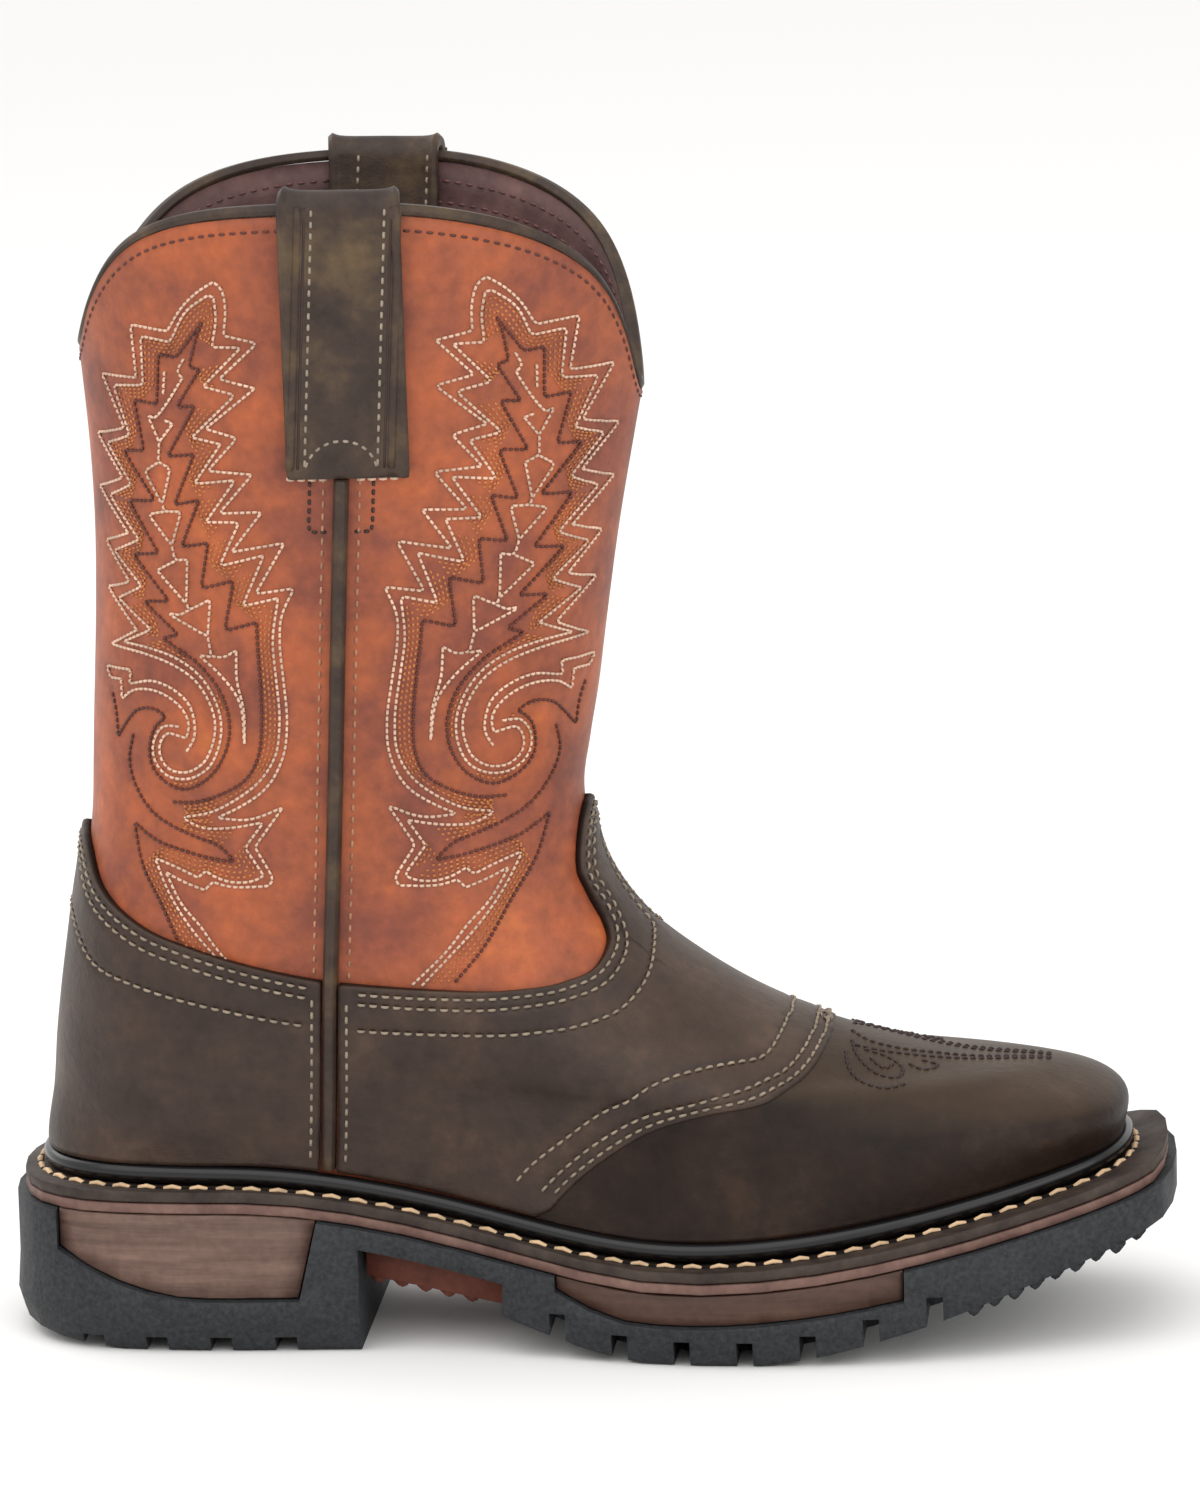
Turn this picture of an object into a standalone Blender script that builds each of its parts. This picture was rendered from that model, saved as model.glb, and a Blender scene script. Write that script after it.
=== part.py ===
"""Right western boot, youth size, standing empty on its own sole.

The origin is on the floor under the middle of the heel, +X points to the toe, +Y to the
wearer's left, which is the inner side of a right boot, and +Z up. Sizes are in
millimetres until add_solid() turns them into metres.
"""

import math

import bpy
import numpy as np

METRES = 0.001

# Whole boot
SOLE_LENGTH = 243.2
BALL_WIDTH = 89.0
HEEL_OVERHANG = 27.2
HEEL_STACK = 34.4
BALL_STACK = 19.8
TOE_SPRING = 19.0
BALL_PLACE = 115.0
WAIST_START = 20.0
INSTEP_RISE = 81.3
SHAFT_RISE = 124.0
SHAFT_DEPTH = 117.5
SHAFT_WIDTH = 87.6
SHAFT_MIDDLE = 50.0

# Clearances and leather
GAP = 0.3
FACET_PLAY = 0.1
CUTTER_REACH = 5.0
WALL = 2.4
VAMP_LEATHER = 1.4
SADDLE_LEATHER = 2.2
STRAP_LEATHER = 1.8

# Sole layers
WELT_THICK = 2.3
MIDSOLE_THICK = 2.1
OUTSOLE_PROUD = 1.8
ARCH_RUBBER = 4.4
HEEL_BREAST = 47.0
HEEL_WEDGE_BACK = -17.0
HEEL_WEDGE_FRONT = 38.0
HEEL_WEDGE_SLANT = 4.0
HEEL_WEDGE_FLOOR = 11.4
HEEL_WEDGE_SWEEP = 10.0
HEEL_WEDGE_SWEEP_LENGTH = 30.0
FOREFOOT_WEDGE_BACK = 89.0
FOREFOOT_WEDGE_FRONT = 161.5
FOREFOOT_WEDGE_THICK = 6.2
FOREFOOT_WEDGE_TAPER = 12.0
FOREFOOT_WEDGE_HEEL_END = 2.6
TREAD_START = 77.5
TREAD_START_LIFT = 8.8
TREAD_FLAT_BACK = 108.0
TREAD_FLAT_FRONT = 132.0
TOE_LIFT = 27.0
HEEL_BEVEL_START = -4.0
HEEL_BEVEL_RISE = 4.6

# Tread
LUG_DEPTH = 5.5
LUG_PITCH = 13.15
LUG_GAP = 3.4
LUG_LENGTH = 13.0
LUG_COUNT = 7
LUG_FIRST_GAP = 102.3
HEEL_NOTCH_DEPTH = 3.2
HEEL_NOTCH_GAP = 4.6
HEEL_NOTCH_PITCH = 13.7
HEEL_NOTCH_COUNT = 4
HEEL_NOTCH_FIRST = -9.9
CENTRE_LUG_HALF = 16.0
CENTRE_GROOVE_DEPTH = 4.0

# Shank pad under the arch
SHANK_PLAY = 0.8
SHANK_HALF_WIDTH = 25.0
SHANK_THICK = 7.2

# Bead round the foot of the upper
BEAD_HEIGHT = 4.3
FOOT_SPREAD = 0.4
BEAD_DEPTH = 3.9
WELT_SHOW_HEEL = 3.7
WELT_SHOW_BALL = 5.4
WELT_SHOW_TOE = 7.0

# Insole inside the upper
INSOLE_ABOVE_WELT = 3.0
INSOLE_PLAY = 0.9

# Side seam piping, top binding and pull straps
SEAM_FOOT = 38.0
SEAM_LEAN = 0.064
PIPING_WIDTH = 3.2
PIPING_HEIGHT = 3.1
BINDING_WIDTH = 3.2
BINDING_HEIGHT = 2.5
STRAP_WIDTH = 24.5
STRAP_MIDDLE = 51.4
STRAP_LENGTH = 52.0
STRAP_INNER_LENGTH = 34.0
STRAP_LOOP_RISE = 0.7
STRAP_BEAD_WIDTH = 2.4
STRAP_BEAD_HEIGHT = 1.0
STRAP_ARCH = 2.6

# Mesh fineness
AROUND = 48
UP = 19
STATIONS = 30

# Plan outline of the welt. Shares of SOLE_LENGTH from the heel, of half BALL_WIDTH each way.
WELT_OUTLINE = (
    # along, lateral, medial
    (0.021, 0.440, 0.440),
    (0.062, 0.628, 0.628),
    (0.124, 0.700, 0.697),
    (0.210, 0.717, 0.680),
    (0.297, 0.703, 0.620),
    (0.379, 0.715, 0.565),
    (0.461, 0.809, 0.610),
    (0.544, 0.950, 0.765),
    (0.626, 1.010, 0.920),
    (0.708, 0.990, 0.990),
    (0.790, 0.905, 0.950),
    (0.873, 0.785, 0.845),
    (0.934, 0.690, 0.735),
    (0.971, 0.590, 0.615),
    (0.992, 0.435, 0.445),
)

# Rings of the foot, from just above the bead to below the ankle bend. Places along are
# shares of SOLE_LENGTH from the origin, heights of INSTEP_RISE above the followed welt
# line, widths of half BALL_WIDTH. "follow" is how much a ring keeps the welt's curve.
FOOT_RINGS = (
    # back x, back up, front x, front up, follow, heel, waist, ball, toe, corner
    (-0.0770, 0.164, 0.8500, 0.128, 0.75, 0.562, 0.562, 0.800, 0.630, 0.440),
    (-0.0735, 0.280, 0.8270, 0.215, 0.50, 0.584, 0.600, 0.735, 0.540, 0.280),
    (-0.0675, 0.434, 0.7035, 0.286, 0.30, 0.590, 0.650, 0.730, 0.440, 0.190),
    (-0.0600, 0.582, 0.5720, 0.384, 0.12, 0.573, 0.680, 0.708, 0.449, 0.185),
    (-0.0515, 0.742, 0.4725, 0.532, 0.00, 0.539, 0.697, 0.690, 0.483, 0.205),
    (-0.0430, 0.889, 0.4120, 0.706, 0.00, 0.500, 0.715, 0.695, 0.494, 0.225),
)

# Rings of the shaft. Places along are shares of SHAFT_DEPTH from the shaft's middle,
# heights of SHAFT_RISE above the ankle bend, widths of half SHAFT_WIDTH. "side up" lies
# above the front and the back towards the rim, and makes its scallops.
SHAFT_RINGS = (
    # back x, back up, front x, front up, side up, heel, waist, ball, toe, corner
    (-0.505, 0.064, 0.376, 0.000, 0.032, 0.485, 0.765, 0.742, 0.514, 0.240),
    (-0.500, 0.153, 0.398, 0.105, 0.160, 0.515, 0.810, 0.785, 0.550, 0.253),
    (-0.494, 0.242, 0.417, 0.226, 0.304, 0.537, 0.860, 0.835, 0.582, 0.269),
    (-0.486, 0.452, 0.451, 0.435, 0.580, 0.560, 0.925, 0.900, 0.616, 0.283),
    (-0.490, 0.597, 0.477, 0.565, 0.800, 0.578, 0.960, 0.936, 0.639, 0.297),
    (-0.502, 0.748, 0.498, 0.665, 1.017, 0.594, 0.989, 0.959, 0.662, 0.304),
)

# How a shaft ring climbs from its back or front, 0, to its sides, 1.
SCALLOP = (
    # degrees from the end, back, front
    (0.0, 0.000, 0.000),
    (6.0, 0.020, 0.050),
    (13.0, 0.100, 0.250),
    (24.0, 0.380, 0.530),
    (35.0, 0.640, 0.705),
    (45.0, 0.805, 0.815),
    (60.0, 0.935, 0.925),
    (75.0, 0.985, 0.985),
    (90.0, 1.000, 1.000),
)

# Plan width, as a share of half BALL_WIDTH, below which an end keeps its own shape.
END_WIDTH = 0.68

# Where on a ring the widths of those tables lie, in degrees from the back to the front.
WIDTH_PLACES = (0.0, 35.0, 75.0, 110.0, 140.0, 163.0, 180.0)

# Side view of the brown panels' upper edge. Places along are shares of SOLE_LENGTH from
# the origin, heights of INSTEP_RISE above the floor of the heel seat.
COUNTER_EDGE = (
    # along, up
    (-0.120, 0.935),
    (-0.047, 0.923),
    (-0.037, 0.865),
    (-0.025, 0.785),
    (0.012, 0.695),
    (0.060, 0.638),
    (0.105, 0.598),
    (0.160, 0.562),
    (0.210, 0.545),
)
SADDLE_TOP_EDGE = (
    # along, up
    (0.150, 0.560),
    (0.183, 0.552),
    (0.260, 0.536),
    (0.330, 0.527),
    (0.374, 0.536),
    (0.401, 0.564),
    (0.409, 0.612),
    (0.403, 0.672),
    (0.385, 0.770),
    (0.384, 0.900),
    (0.392, 1.010),
    (0.420, 1.120),
)
SADDLE_FRONT_EDGE = (
    # along, up
    (0.607, 0.460),
    (0.602, 0.374),
    (0.598, 0.330),
    (0.583, 0.270),
    (0.556, 0.228),
    (0.496, 0.198),
    (0.452, 0.160),
    (0.410, 0.083),
    (0.372, -0.020),
    (0.345, -0.130),
    (0.320, -0.330),
)


def catmull(knots, values, at):
    """A smooth curve through the values of a table, taken at other places."""
    knots = np.asarray(knots, float)
    values = np.asarray(values, float)
    at = np.asarray(at, float)
    slopes = np.gradient(values, knots, axis=0)
    left = np.clip(np.searchsorted(knots, at, side="right") - 1, 0, len(knots) - 2)
    step = knots[left + 1] - knots[left]
    t = (at - knots[left]) / step
    extra = (1,) * (values.ndim - 1)
    t = t.reshape(t.shape + extra)
    step = step.reshape(step.shape + extra)
    start = (2 * t**3 - 3 * t**2 + 1) * values[left]
    end = (3 * t**2 - 2 * t**3) * values[left + 1]
    leave = (t**3 - 2 * t**2 + t) * step * slopes[left]
    arrive = (t**3 - t**2) * step * slopes[left + 1]
    return start + end + leave + arrive


def cosine_share(angle):
    """Share of the way from back to front at this angle round a ring."""
    return (1.0 - np.cos(np.radians(angle))) / 2.0


def smoothstep(t):
    t = np.clip(t, 0.0, 1.0)
    return 3 * t**2 - 2 * t**3


def welt_top(x):
    """Height of the welt's upper face: level at the heel, down to the ball, up to the toe."""
    x = np.asarray(x, float)
    waist = smoothstep((x - WAIST_START) / (BALL_PLACE - WAIST_START))
    toe_x = SOLE_LENGTH - HEEL_OVERHANG
    spring = np.clip((x - BALL_PLACE) / (toe_x - BALL_PLACE), 0.0, None)
    return HEEL_STACK - (HEEL_STACK - BALL_STACK) * waist + TOE_SPRING * spring**1.8


def welt_bottom(x):
    return welt_top(x) - WELT_THICK


def midsole_top(x):
    return welt_bottom(x) - GAP


def midsole_bottom(x):
    return midsole_top(x) - MIDSOLE_THICK


def outsole_top(x):
    return midsole_bottom(x) - GAP


def tread_bottom(x):
    """Height of the forefoot's underside: down from the arch, flat, then up to the toe."""
    x = np.asarray(x, float)
    toe_x = SOLE_LENGTH - HEEL_OVERHANG + OUTSOLE_PROUD
    back = np.clip((TREAD_FLAT_BACK - x) / (TREAD_FLAT_BACK - TREAD_START), 0.0, None)
    front = np.clip((x - TREAD_FLAT_FRONT) / (toe_x - TREAD_FLAT_FRONT), 0.0, None)
    return TREAD_START_LIFT * back**1.4 + TOE_LIFT * front**1.35


def heel_wedge_bottom(x):
    """Underside of the heel wedge, which sweeps up towards the back."""
    back = np.clip(1.0 - (x - HEEL_WEDGE_BACK) / HEEL_WEDGE_SWEEP_LENGTH, 0.0, 1.0)
    return HEEL_WEDGE_FLOOR + HEEL_WEDGE_SWEEP * back**1.8


def forefoot_wedge_bottom(x):
    """Underside of the forefoot wedge, which thins out towards the arch."""
    grown = smoothstep((x - FOREFOOT_WEDGE_BACK) / FOREFOOT_WEDGE_TAPER)
    thick = FOREFOOT_WEDGE_HEEL_END
    thick = thick + (FOREFOOT_WEDGE_THICK - FOREFOOT_WEDGE_HEEL_END) * grown
    return outsole_top(x) - thick


def outline_sides():
    """Share along, lateral and medial half width of the welt's outline, back to front."""
    table = np.array(WELT_OUTLINE)
    angles = np.degrees(np.arccos(1.0 - 2.0 * table[:, 0]))
    angles = np.concatenate([[0.0], angles, [180.0]])
    at = np.linspace(0.0, 180.0, 721)
    widths = []
    for column in (1, 2):
        share = np.concatenate([[0.0], table[:, column], [0.0]])
        widths.append(catmull(angles, share, at) * BALL_WIDTH / 2)
    return cosine_share(at), widths[0], widths[1]


def drawn_in(heel, ball, toe):
    """The welt's outline drawn in by three distances: back, lateral side, toe, medial side.

    Ends narrower than END_WIDTH are drawn in by a share, so tight corners never fold.
    """
    share, lateral, medial = outline_sides()
    length = SOLE_LENGTH - heel - toe
    x = length * share - HEEL_OVERHANG + heel
    inset = np.interp(share, (0.0, 0.3, 0.55, 0.9, 1.0), (heel, heel, ball, ball, toe))
    sides = []
    for width in (lateral, medial):
        sides.append(width * (1.0 - inset / np.maximum(width, END_WIDTH * BALL_WIDTH / 2)))
    near = np.stack([x, -sides[0]], axis=1)
    far = np.stack([x, sides[1]], axis=1)
    return np.concatenate([near, far[-2:0:-1]])


def around_foot(more):
    """The outline this far inside the foot of the upper's outer face."""
    heel = WELT_SHOW_HEEL + BEAD_DEPTH + more
    ball = WELT_SHOW_BALL + BEAD_DEPTH + more
    toe = WELT_SHOW_TOE + BEAD_DEPTH + more
    return drawn_in(heel, ball, toe)


OUTLINE = drawn_in(0.0, 0.0, 0.0)
FEATHER = around_foot(0.0)


def side_widths(loop, stations):
    """Lateral and medial y of a closed outline at places along x."""
    front = int(np.argmax(loop[:, 0]))
    back = int(np.argmin(loop[:, 0]))
    loop = np.roll(loop, -back, axis=0)
    front = (front - back) % len(loop)
    lateral = loop[: front + 1]
    medial = np.concatenate([loop[front:], loop[:1]])[::-1]
    y_lateral = np.interp(stations, lateral[:, 0], lateral[:, 1])
    y_medial = np.interp(stations, medial[:, 0], medial[:, 1])
    return y_lateral, y_medial


def stations_between(first, last, count=STATIONS):
    """Places along x, close together at both ends where an outline turns."""
    return first + (last - first) * cosine_share(np.linspace(0.0, 180.0, count + 1))


def ring_widths(angles, shares, half_width):
    return catmull(WIDTH_PLACES, (0.0, *shares, 0.0), angles) * half_width


def feather_ring(angles, height, spread):
    """The upper's foot at a height above the welt, spread a little from the feather line."""
    place = np.round(np.asarray(angles) / 180.0 * (len(FEATHER) // 2)).astype(int)
    sides = []
    for loop in (FEATHER[place], FEATHER[-place]):
        x = loop[:, 0] - spread * np.cos(np.radians(angles))
        y = loop[:, 1] * (1.0 + 2.0 * spread / BALL_WIDTH)
        sides.append(np.stack([x, y, welt_top(x) + height], axis=1))
    return sides


def foot_ring(row, angles):
    back_x, back_up, front_x, front_up, follow, *widths = row
    share = cosine_share(angles)
    x = SOLE_LENGTH * (back_x + (front_x - back_x) * share)
    base = follow * welt_top(x) + (1.0 - follow) * HEEL_STACK
    z = base + INSTEP_RISE * (back_up + (front_up - back_up) * share)
    half = ring_widths(angles, widths, BALL_WIDTH / 2)
    near, far = feather_ring(angles, 0.0, 0.0)
    uneven = follow * (near[:, 1] + far[:, 1])
    return [np.stack([x, -half, z], axis=1), np.stack([x, half + uneven, z], axis=1)]


def shaft_ring(row, angles):
    back_x, back_up, front_x, front_up, side_up, *widths = row
    x = SHAFT_MIDDLE + SHAFT_DEPTH * (back_x + (front_x - back_x) * cosine_share(angles))
    from_end = np.minimum(angles, 180.0 - angles)
    table = np.array(SCALLOP)
    back = back_up + (side_up - back_up) * catmull(table[:, 0], table[:, 1], from_end)
    front = front_up + (side_up - front_up) * catmull(table[:, 0], table[:, 2], from_end)
    z = HEEL_STACK + INSTEP_RISE + SHAFT_RISE * np.where(angles < 90.0, back, front)
    half = ring_widths(angles, widths, SHAFT_WIDTH / 2)
    return [np.stack([x, -half, z], axis=1), np.stack([x, half, z], axis=1)]


def closed_ring(sides):
    """One ring as points: back, lateral side, front, medial side."""
    near, far = sides
    return np.concatenate([near, far[-2:0:-1]])


def skin_grid():
    """The upper's outer face as a fine grid of points, with the height of each row."""
    angles = np.linspace(0.0, 180.0, 121)
    rings = [closed_ring(feather_ring(angles, GAP, 0.0))]
    rings.append(closed_ring(feather_ring(angles, GAP + BEAD_HEIGHT, FOOT_SPREAD)))
    rings += [closed_ring(foot_ring(row, angles)) for row in FOOT_RINGS]
    rings += [closed_ring(shaft_ring(row, angles)) for row in SHAFT_RINGS]
    rings = np.array(rings)
    steps = np.linalg.norm(np.diff(rings, axis=0), axis=2).mean(axis=1)
    knots = np.concatenate([[0.0], np.cumsum(steps)])
    rows = np.linspace(0.0, knots[-1], 241)
    return catmull(knots, rings, rows), rows, knots


SKIN, SKIN_ROWS, RING_KNOTS = skin_grid()
RIM = SKIN_ROWS[-1]
BEAD_TOP = RING_KNOTS[1]


def skin_normals():
    around = np.roll(SKIN, -1, axis=1) - np.roll(SKIN, 1, axis=1)
    up = np.gradient(SKIN, axis=0)
    out = np.cross(around, up)
    return out / np.linalg.norm(out, axis=2)[:, :, None]


SKIN_NORMALS = skin_normals()


def sample(grid, angle, up):
    """A value of a skin grid at an angle round the boot and a length up the skin."""
    columns = grid.shape[1]
    a = np.asarray(angle, float) % 360.0 / 360.0 * columns
    v = np.clip(np.asarray(up, float) / RIM, 0.0, 1.0) * (len(SKIN_ROWS) - 1)
    a0 = np.floor(a).astype(int) % columns
    v0 = np.minimum(np.floor(v).astype(int), len(SKIN_ROWS) - 2)
    ta = (a - np.floor(a))[..., None]
    tv = (v - v0)[..., None]
    a1 = (a0 + 1) % columns
    low = grid[v0, a0] * (1 - ta) + grid[v0, a1] * ta
    high = grid[v0 + 1, a0] * (1 - ta) + grid[v0 + 1, a1] * ta
    return low * (1 - tv) + high * tv


def on_skin(angle, up, out):
    """A point a distance outside the upper's outer face."""
    angle, up, out = np.broadcast_arrays(*np.atleast_1d(angle, up, out))
    normal = sample(SKIN_NORMALS, angle, up)
    normal = normal / np.linalg.norm(normal, axis=-1)[..., None]
    return sample(SKIN, angle, up) + normal * out[..., None]


def rim_direction(angle):
    """Which way the skin runs on past the rim."""
    step = on_skin(angle, RIM, 0.0) - on_skin(angle, RIM - 2.0, 0.0)
    return step / np.linalg.norm(step, axis=-1)[..., None]


COLUMNS = np.arange(AROUND) * 360.0 / AROUND
ROWS = np.concatenate([[0.0], np.linspace(BEAD_TOP, RIM, UP)])


def seam_x(z):
    return SEAM_FOOT + SEAM_LEAN * z


def side_angle(up, place, side):
    """Angle round the boot where a row of the skin is at place(z) along x, on one side."""
    angles = np.linspace(20.0, 160.0, 281) * (1 if side < 0 else -1)
    points = on_skin(angles, up, 0.0)
    return float(np.interp(0.0, points[:, 0] - place(points[:, 2]), angles))


def row_at_height(z, place, side):
    """Length up the skin where the line place(z) on one side reaches a height."""
    rows = np.linspace(BEAD_TOP, RIM, 120)
    heights = [on_skin(side_angle(up, place, side), up, 0.0)[0, 2] for up in rows]
    return float(np.interp(z, heights, rows))


def clear_scene():
    for obj in list(bpy.data.objects):
        bpy.data.objects.remove(obj, do_unlink=True)


def material(name, colour, roughness, coat=0.0):
    made = bpy.data.materials.new(name)
    made.use_nodes = True
    shader = made.node_tree.nodes["Principled BSDF"]
    shader.inputs["Base Color"].default_value = (*colour, 1.0)
    shader.inputs["Roughness"].default_value = roughness
    shader.inputs["Coat Weight"].default_value = coat
    return made


def signed_volume(points, faces):
    """Six times the volume inside the faces, negative when they face inwards."""
    total = 0.0
    for corners in faces:
        a = points[corners[0]]
        for b, c in zip(corners[1:-1], corners[2:]):
            total += float(np.dot(a, np.cross(points[b], points[c])))
    return total


def add_solid(name, points, faces, finish=None):
    """A mesh object from millimetre points, its faces turned outwards.

    Points that coincide become one, so the faces only have to agree with each other.
    """
    points = np.asarray(points, float)
    _, first, index = np.unique(
        np.round(points, 4), axis=0, return_index=True, return_inverse=True
    )
    index = index.reshape(-1)
    kept = []
    for face in faces:
        corners = [int(index[i]) for i in face]
        corners = [c for i, c in enumerate(corners) if c != corners[i - 1]]
        if len(corners) > 2:
            kept.append(corners)
    points = points[first]
    if signed_volume(points, kept) < 0.0:
        kept = [corners[::-1] for corners in kept]
    mesh = bpy.data.meshes.new(name)
    mesh.from_pydata([tuple(p) for p in points * METRES], [], kept)
    mesh.update()
    obj = bpy.data.objects.new(name, mesh)
    bpy.context.scene.collection.objects.link(obj)
    if finish is not None:
        mesh.materials.append(finish)
        mesh.shade_smooth()
    return obj


def grid_faces(rows, columns, closed, start=0, turned=False):
    """Triangles of a grid of points, rows upwards and columns round the boot."""
    faces = []
    for i in range(rows - 1):
        for j in range(columns if closed else columns - 1):
            a = start + i * columns + j
            b = start + i * columns + (j + 1) % columns
            c, d = b + columns, a + columns
            pair = [(a, b, c), (a, c, d)]
            faces += [face[::-1] for face in pair] if turned else pair
    return faces


def add_shell(name, outer, inner, finish=None):
    """A closed band of leather between two grids that run all the way round."""
    rows, columns, _ = outer.shape
    inside = rows * columns
    faces = grid_faces(rows, columns, True)
    faces += grid_faces(rows, columns, True, inside, turned=True)
    top = (rows - 1) * columns
    for j in range(columns):
        k = (j + 1) % columns
        faces.append((k, j, inside + j, inside + k))
        faces.append((top + j, top + k, inside + top + k, inside + top + j))
    points = np.concatenate([outer.reshape(-1, 3), inner.reshape(-1, 3)])
    return add_solid(name, points, faces, finish)


def add_tube(name, sections, closed, finish=None):
    """A solid swept through sections, each of them the same number of points round."""
    sections = np.asarray(sections, float)
    count, around, _ = sections.shape
    faces = []
    for i in range(count if closed else count - 1):
        here, there = i * around, (i + 1) % count * around
        for j in range(around):
            k = (j + 1) % around
            faces.append((here + j, here + k, there + k, there + j))
    if not closed:
        faces.append(tuple(range(around))[::-1])
        faces.append(tuple((count - 1) * around + j for j in range(around)))
    return add_solid(name, sections.reshape(-1, 3), faces, finish)


def add_slab(name, loop, stations, top, bottom, finish=None):
    """A sole layer: an outline in plan between two curved faces."""
    lateral, medial = side_widths(loop, stations)
    lateral = np.minimum(lateral, medial)
    sections = []
    for x, low_y, high_y in zip(stations, lateral, medial):
        high, low = float(top(x)), float(bottom(x))
        sections.append(((x, low_y, low), (x, high_y, low), (x, high_y, high), (x, low_y, high)))
    return add_tube(name, sections, False, finish)


def use_boolean(obj, cutter, operation):
    cut = obj.modifiers.new(cutter.name, "BOOLEAN")
    cut.object = cutter
    cut.operation = operation
    cut.solver = "EXACT"
    cutter.hide_render = True
    cutter.display_type = "WIRE"


def add_side_cutter(name, profile, half_width):
    """A side view's outline, pulled across the boot."""
    count = len(profile)
    near = [(x, -half_width, z) for x, z in profile]
    far = [(x, half_width, z) for x, z in profile]
    faces = [tuple(range(count)), tuple(range(2 * count - 1, count - 1, -1))]
    for i in range(count):
        k = (i + 1) % count
        faces.append((k, i, count + i, count + k))
    return add_solid(name, near + far, faces)


def add_upper(finish):
    """The lined leather body: open at the rim and underneath."""
    outer = on_skin(*np.meshgrid(COLUMNS, ROWS), 0.0)
    inner = on_skin(*np.meshgrid(COLUMNS, ROWS), -WALL)
    inner[0, :, 2] = outer[0, :, 2]
    return add_shell("upper", outer, inner, finish)


def beside_foot(angle, up, out):
    """A point level with the foot of the skin, this high above the welt and this far out."""
    normal = on_skin(angle, BEAD_TOP * up, 1.0)[0] - on_skin(angle, BEAD_TOP * up, 0.0)[0]
    flat = normal[:2] / np.linalg.norm(normal[:2])
    x, y = on_skin(angle, BEAD_TOP * up, 0.0)[0, :2] + flat * out
    return x, y, float(welt_top(x)) + GAP + BEAD_HEIGHT * up


def add_rand(finish):
    """The moulded bead that closes the joint of upper and welt."""
    profile = (
        # height, out from the skin
        (0.0, GAP),
        (0.0, 0.75 * BEAD_DEPTH),
        (0.3, BEAD_DEPTH),
        (0.7, 0.97 * BEAD_DEPTH),
        (0.95, 0.68 * BEAD_DEPTH),
        (1.0, GAP),
    )
    sections = []
    for angle in COLUMNS:
        sections.append([beside_foot(angle, up, out) for up, out in profile])
    return add_tube("rand", sections, True, finish)


def add_welt(finish):
    """The strip that is stitched to the upper, open where the insole sits."""
    outer = OUTLINE
    inner = around_foot(WALL)
    step = len(OUTLINE) // (2 * STATIONS)
    sections = []
    for edge, bore in zip(outer[::step], inner[::step]):
        edge_top, bore_top = float(welt_top(edge[0])), float(welt_top(bore[0]))
        sections.append(
            (
                (*bore, bore_top - WELT_THICK),
                (*bore, bore_top),
                (*edge, edge_top),
                (*edge, edge_top - WELT_THICK),
            )
        )
    return add_tube("welt", sections, True, finish)


def add_insole(finish):
    """The footbed, inside the welt and the foot of the upper."""
    loop = around_foot(WALL + INSOLE_PLAY)
    stations = stations_between(loop[:, 0].min(), loop[:, 0].max())

    def top(x):
        return welt_top(x) + INSOLE_ABOVE_WELT

    def bottom(x):
        return midsole_top(x) + GAP

    return add_slab("insole", loop, stations, top, bottom, finish)


def add_midsole(finish):
    stations = stations_between(OUTLINE[:, 0].min(), OUTLINE[:, 0].max())
    return add_slab("midsole", OUTLINE, stations, midsole_top, midsole_bottom, finish)


def heel_wedge_stations():
    return np.linspace(HEEL_WEDGE_BACK, HEEL_WEDGE_FRONT - HEEL_WEDGE_SLANT, 9)


def forefoot_wedge_stations():
    return np.linspace(FOREFOOT_WEDGE_BACK, FOREFOOT_WEDGE_FRONT, 11)


def add_heel_wedge(finish):
    """The brown filler of the heel, which shows at both sides."""
    foot = heel_wedge_stations()
    profile = [(x, float(heel_wedge_bottom(x))) for x in foot]
    head = np.linspace(HEEL_WEDGE_FRONT, HEEL_WEDGE_BACK, 9)
    profile += [(x, float(outsole_top(x))) for x in head]
    return add_wedge("heel_wedge", profile, finish)


def add_forefoot_wedge(finish):
    """The brown filler under the ball of the foot."""
    foot = forefoot_wedge_stations()
    profile = [(x, float(forefoot_wedge_bottom(x))) for x in foot]
    profile += [(x, float(outsole_top(x))) for x in foot[::-1]]
    return add_wedge("forefoot_wedge", profile, finish)


def add_wedge(name, profile, finish):
    lowest = min(z for _, z in profile) - CUTTER_REACH
    highest = max(z for _, z in profile) + CUTTER_REACH
    edges = [x for x, _ in profile]
    stations = np.linspace(min(edges) - CUTTER_REACH, max(edges) + CUTTER_REACH, 15)
    wedge = add_slab(
        name, OUTLINE, stations, lambda x: highest, lambda x: lowest, finish
    )
    use_boolean(wedge, add_side_cutter(name + "_outline", profile, BALL_WIDTH), "INTERSECT")
    return wedge


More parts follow.
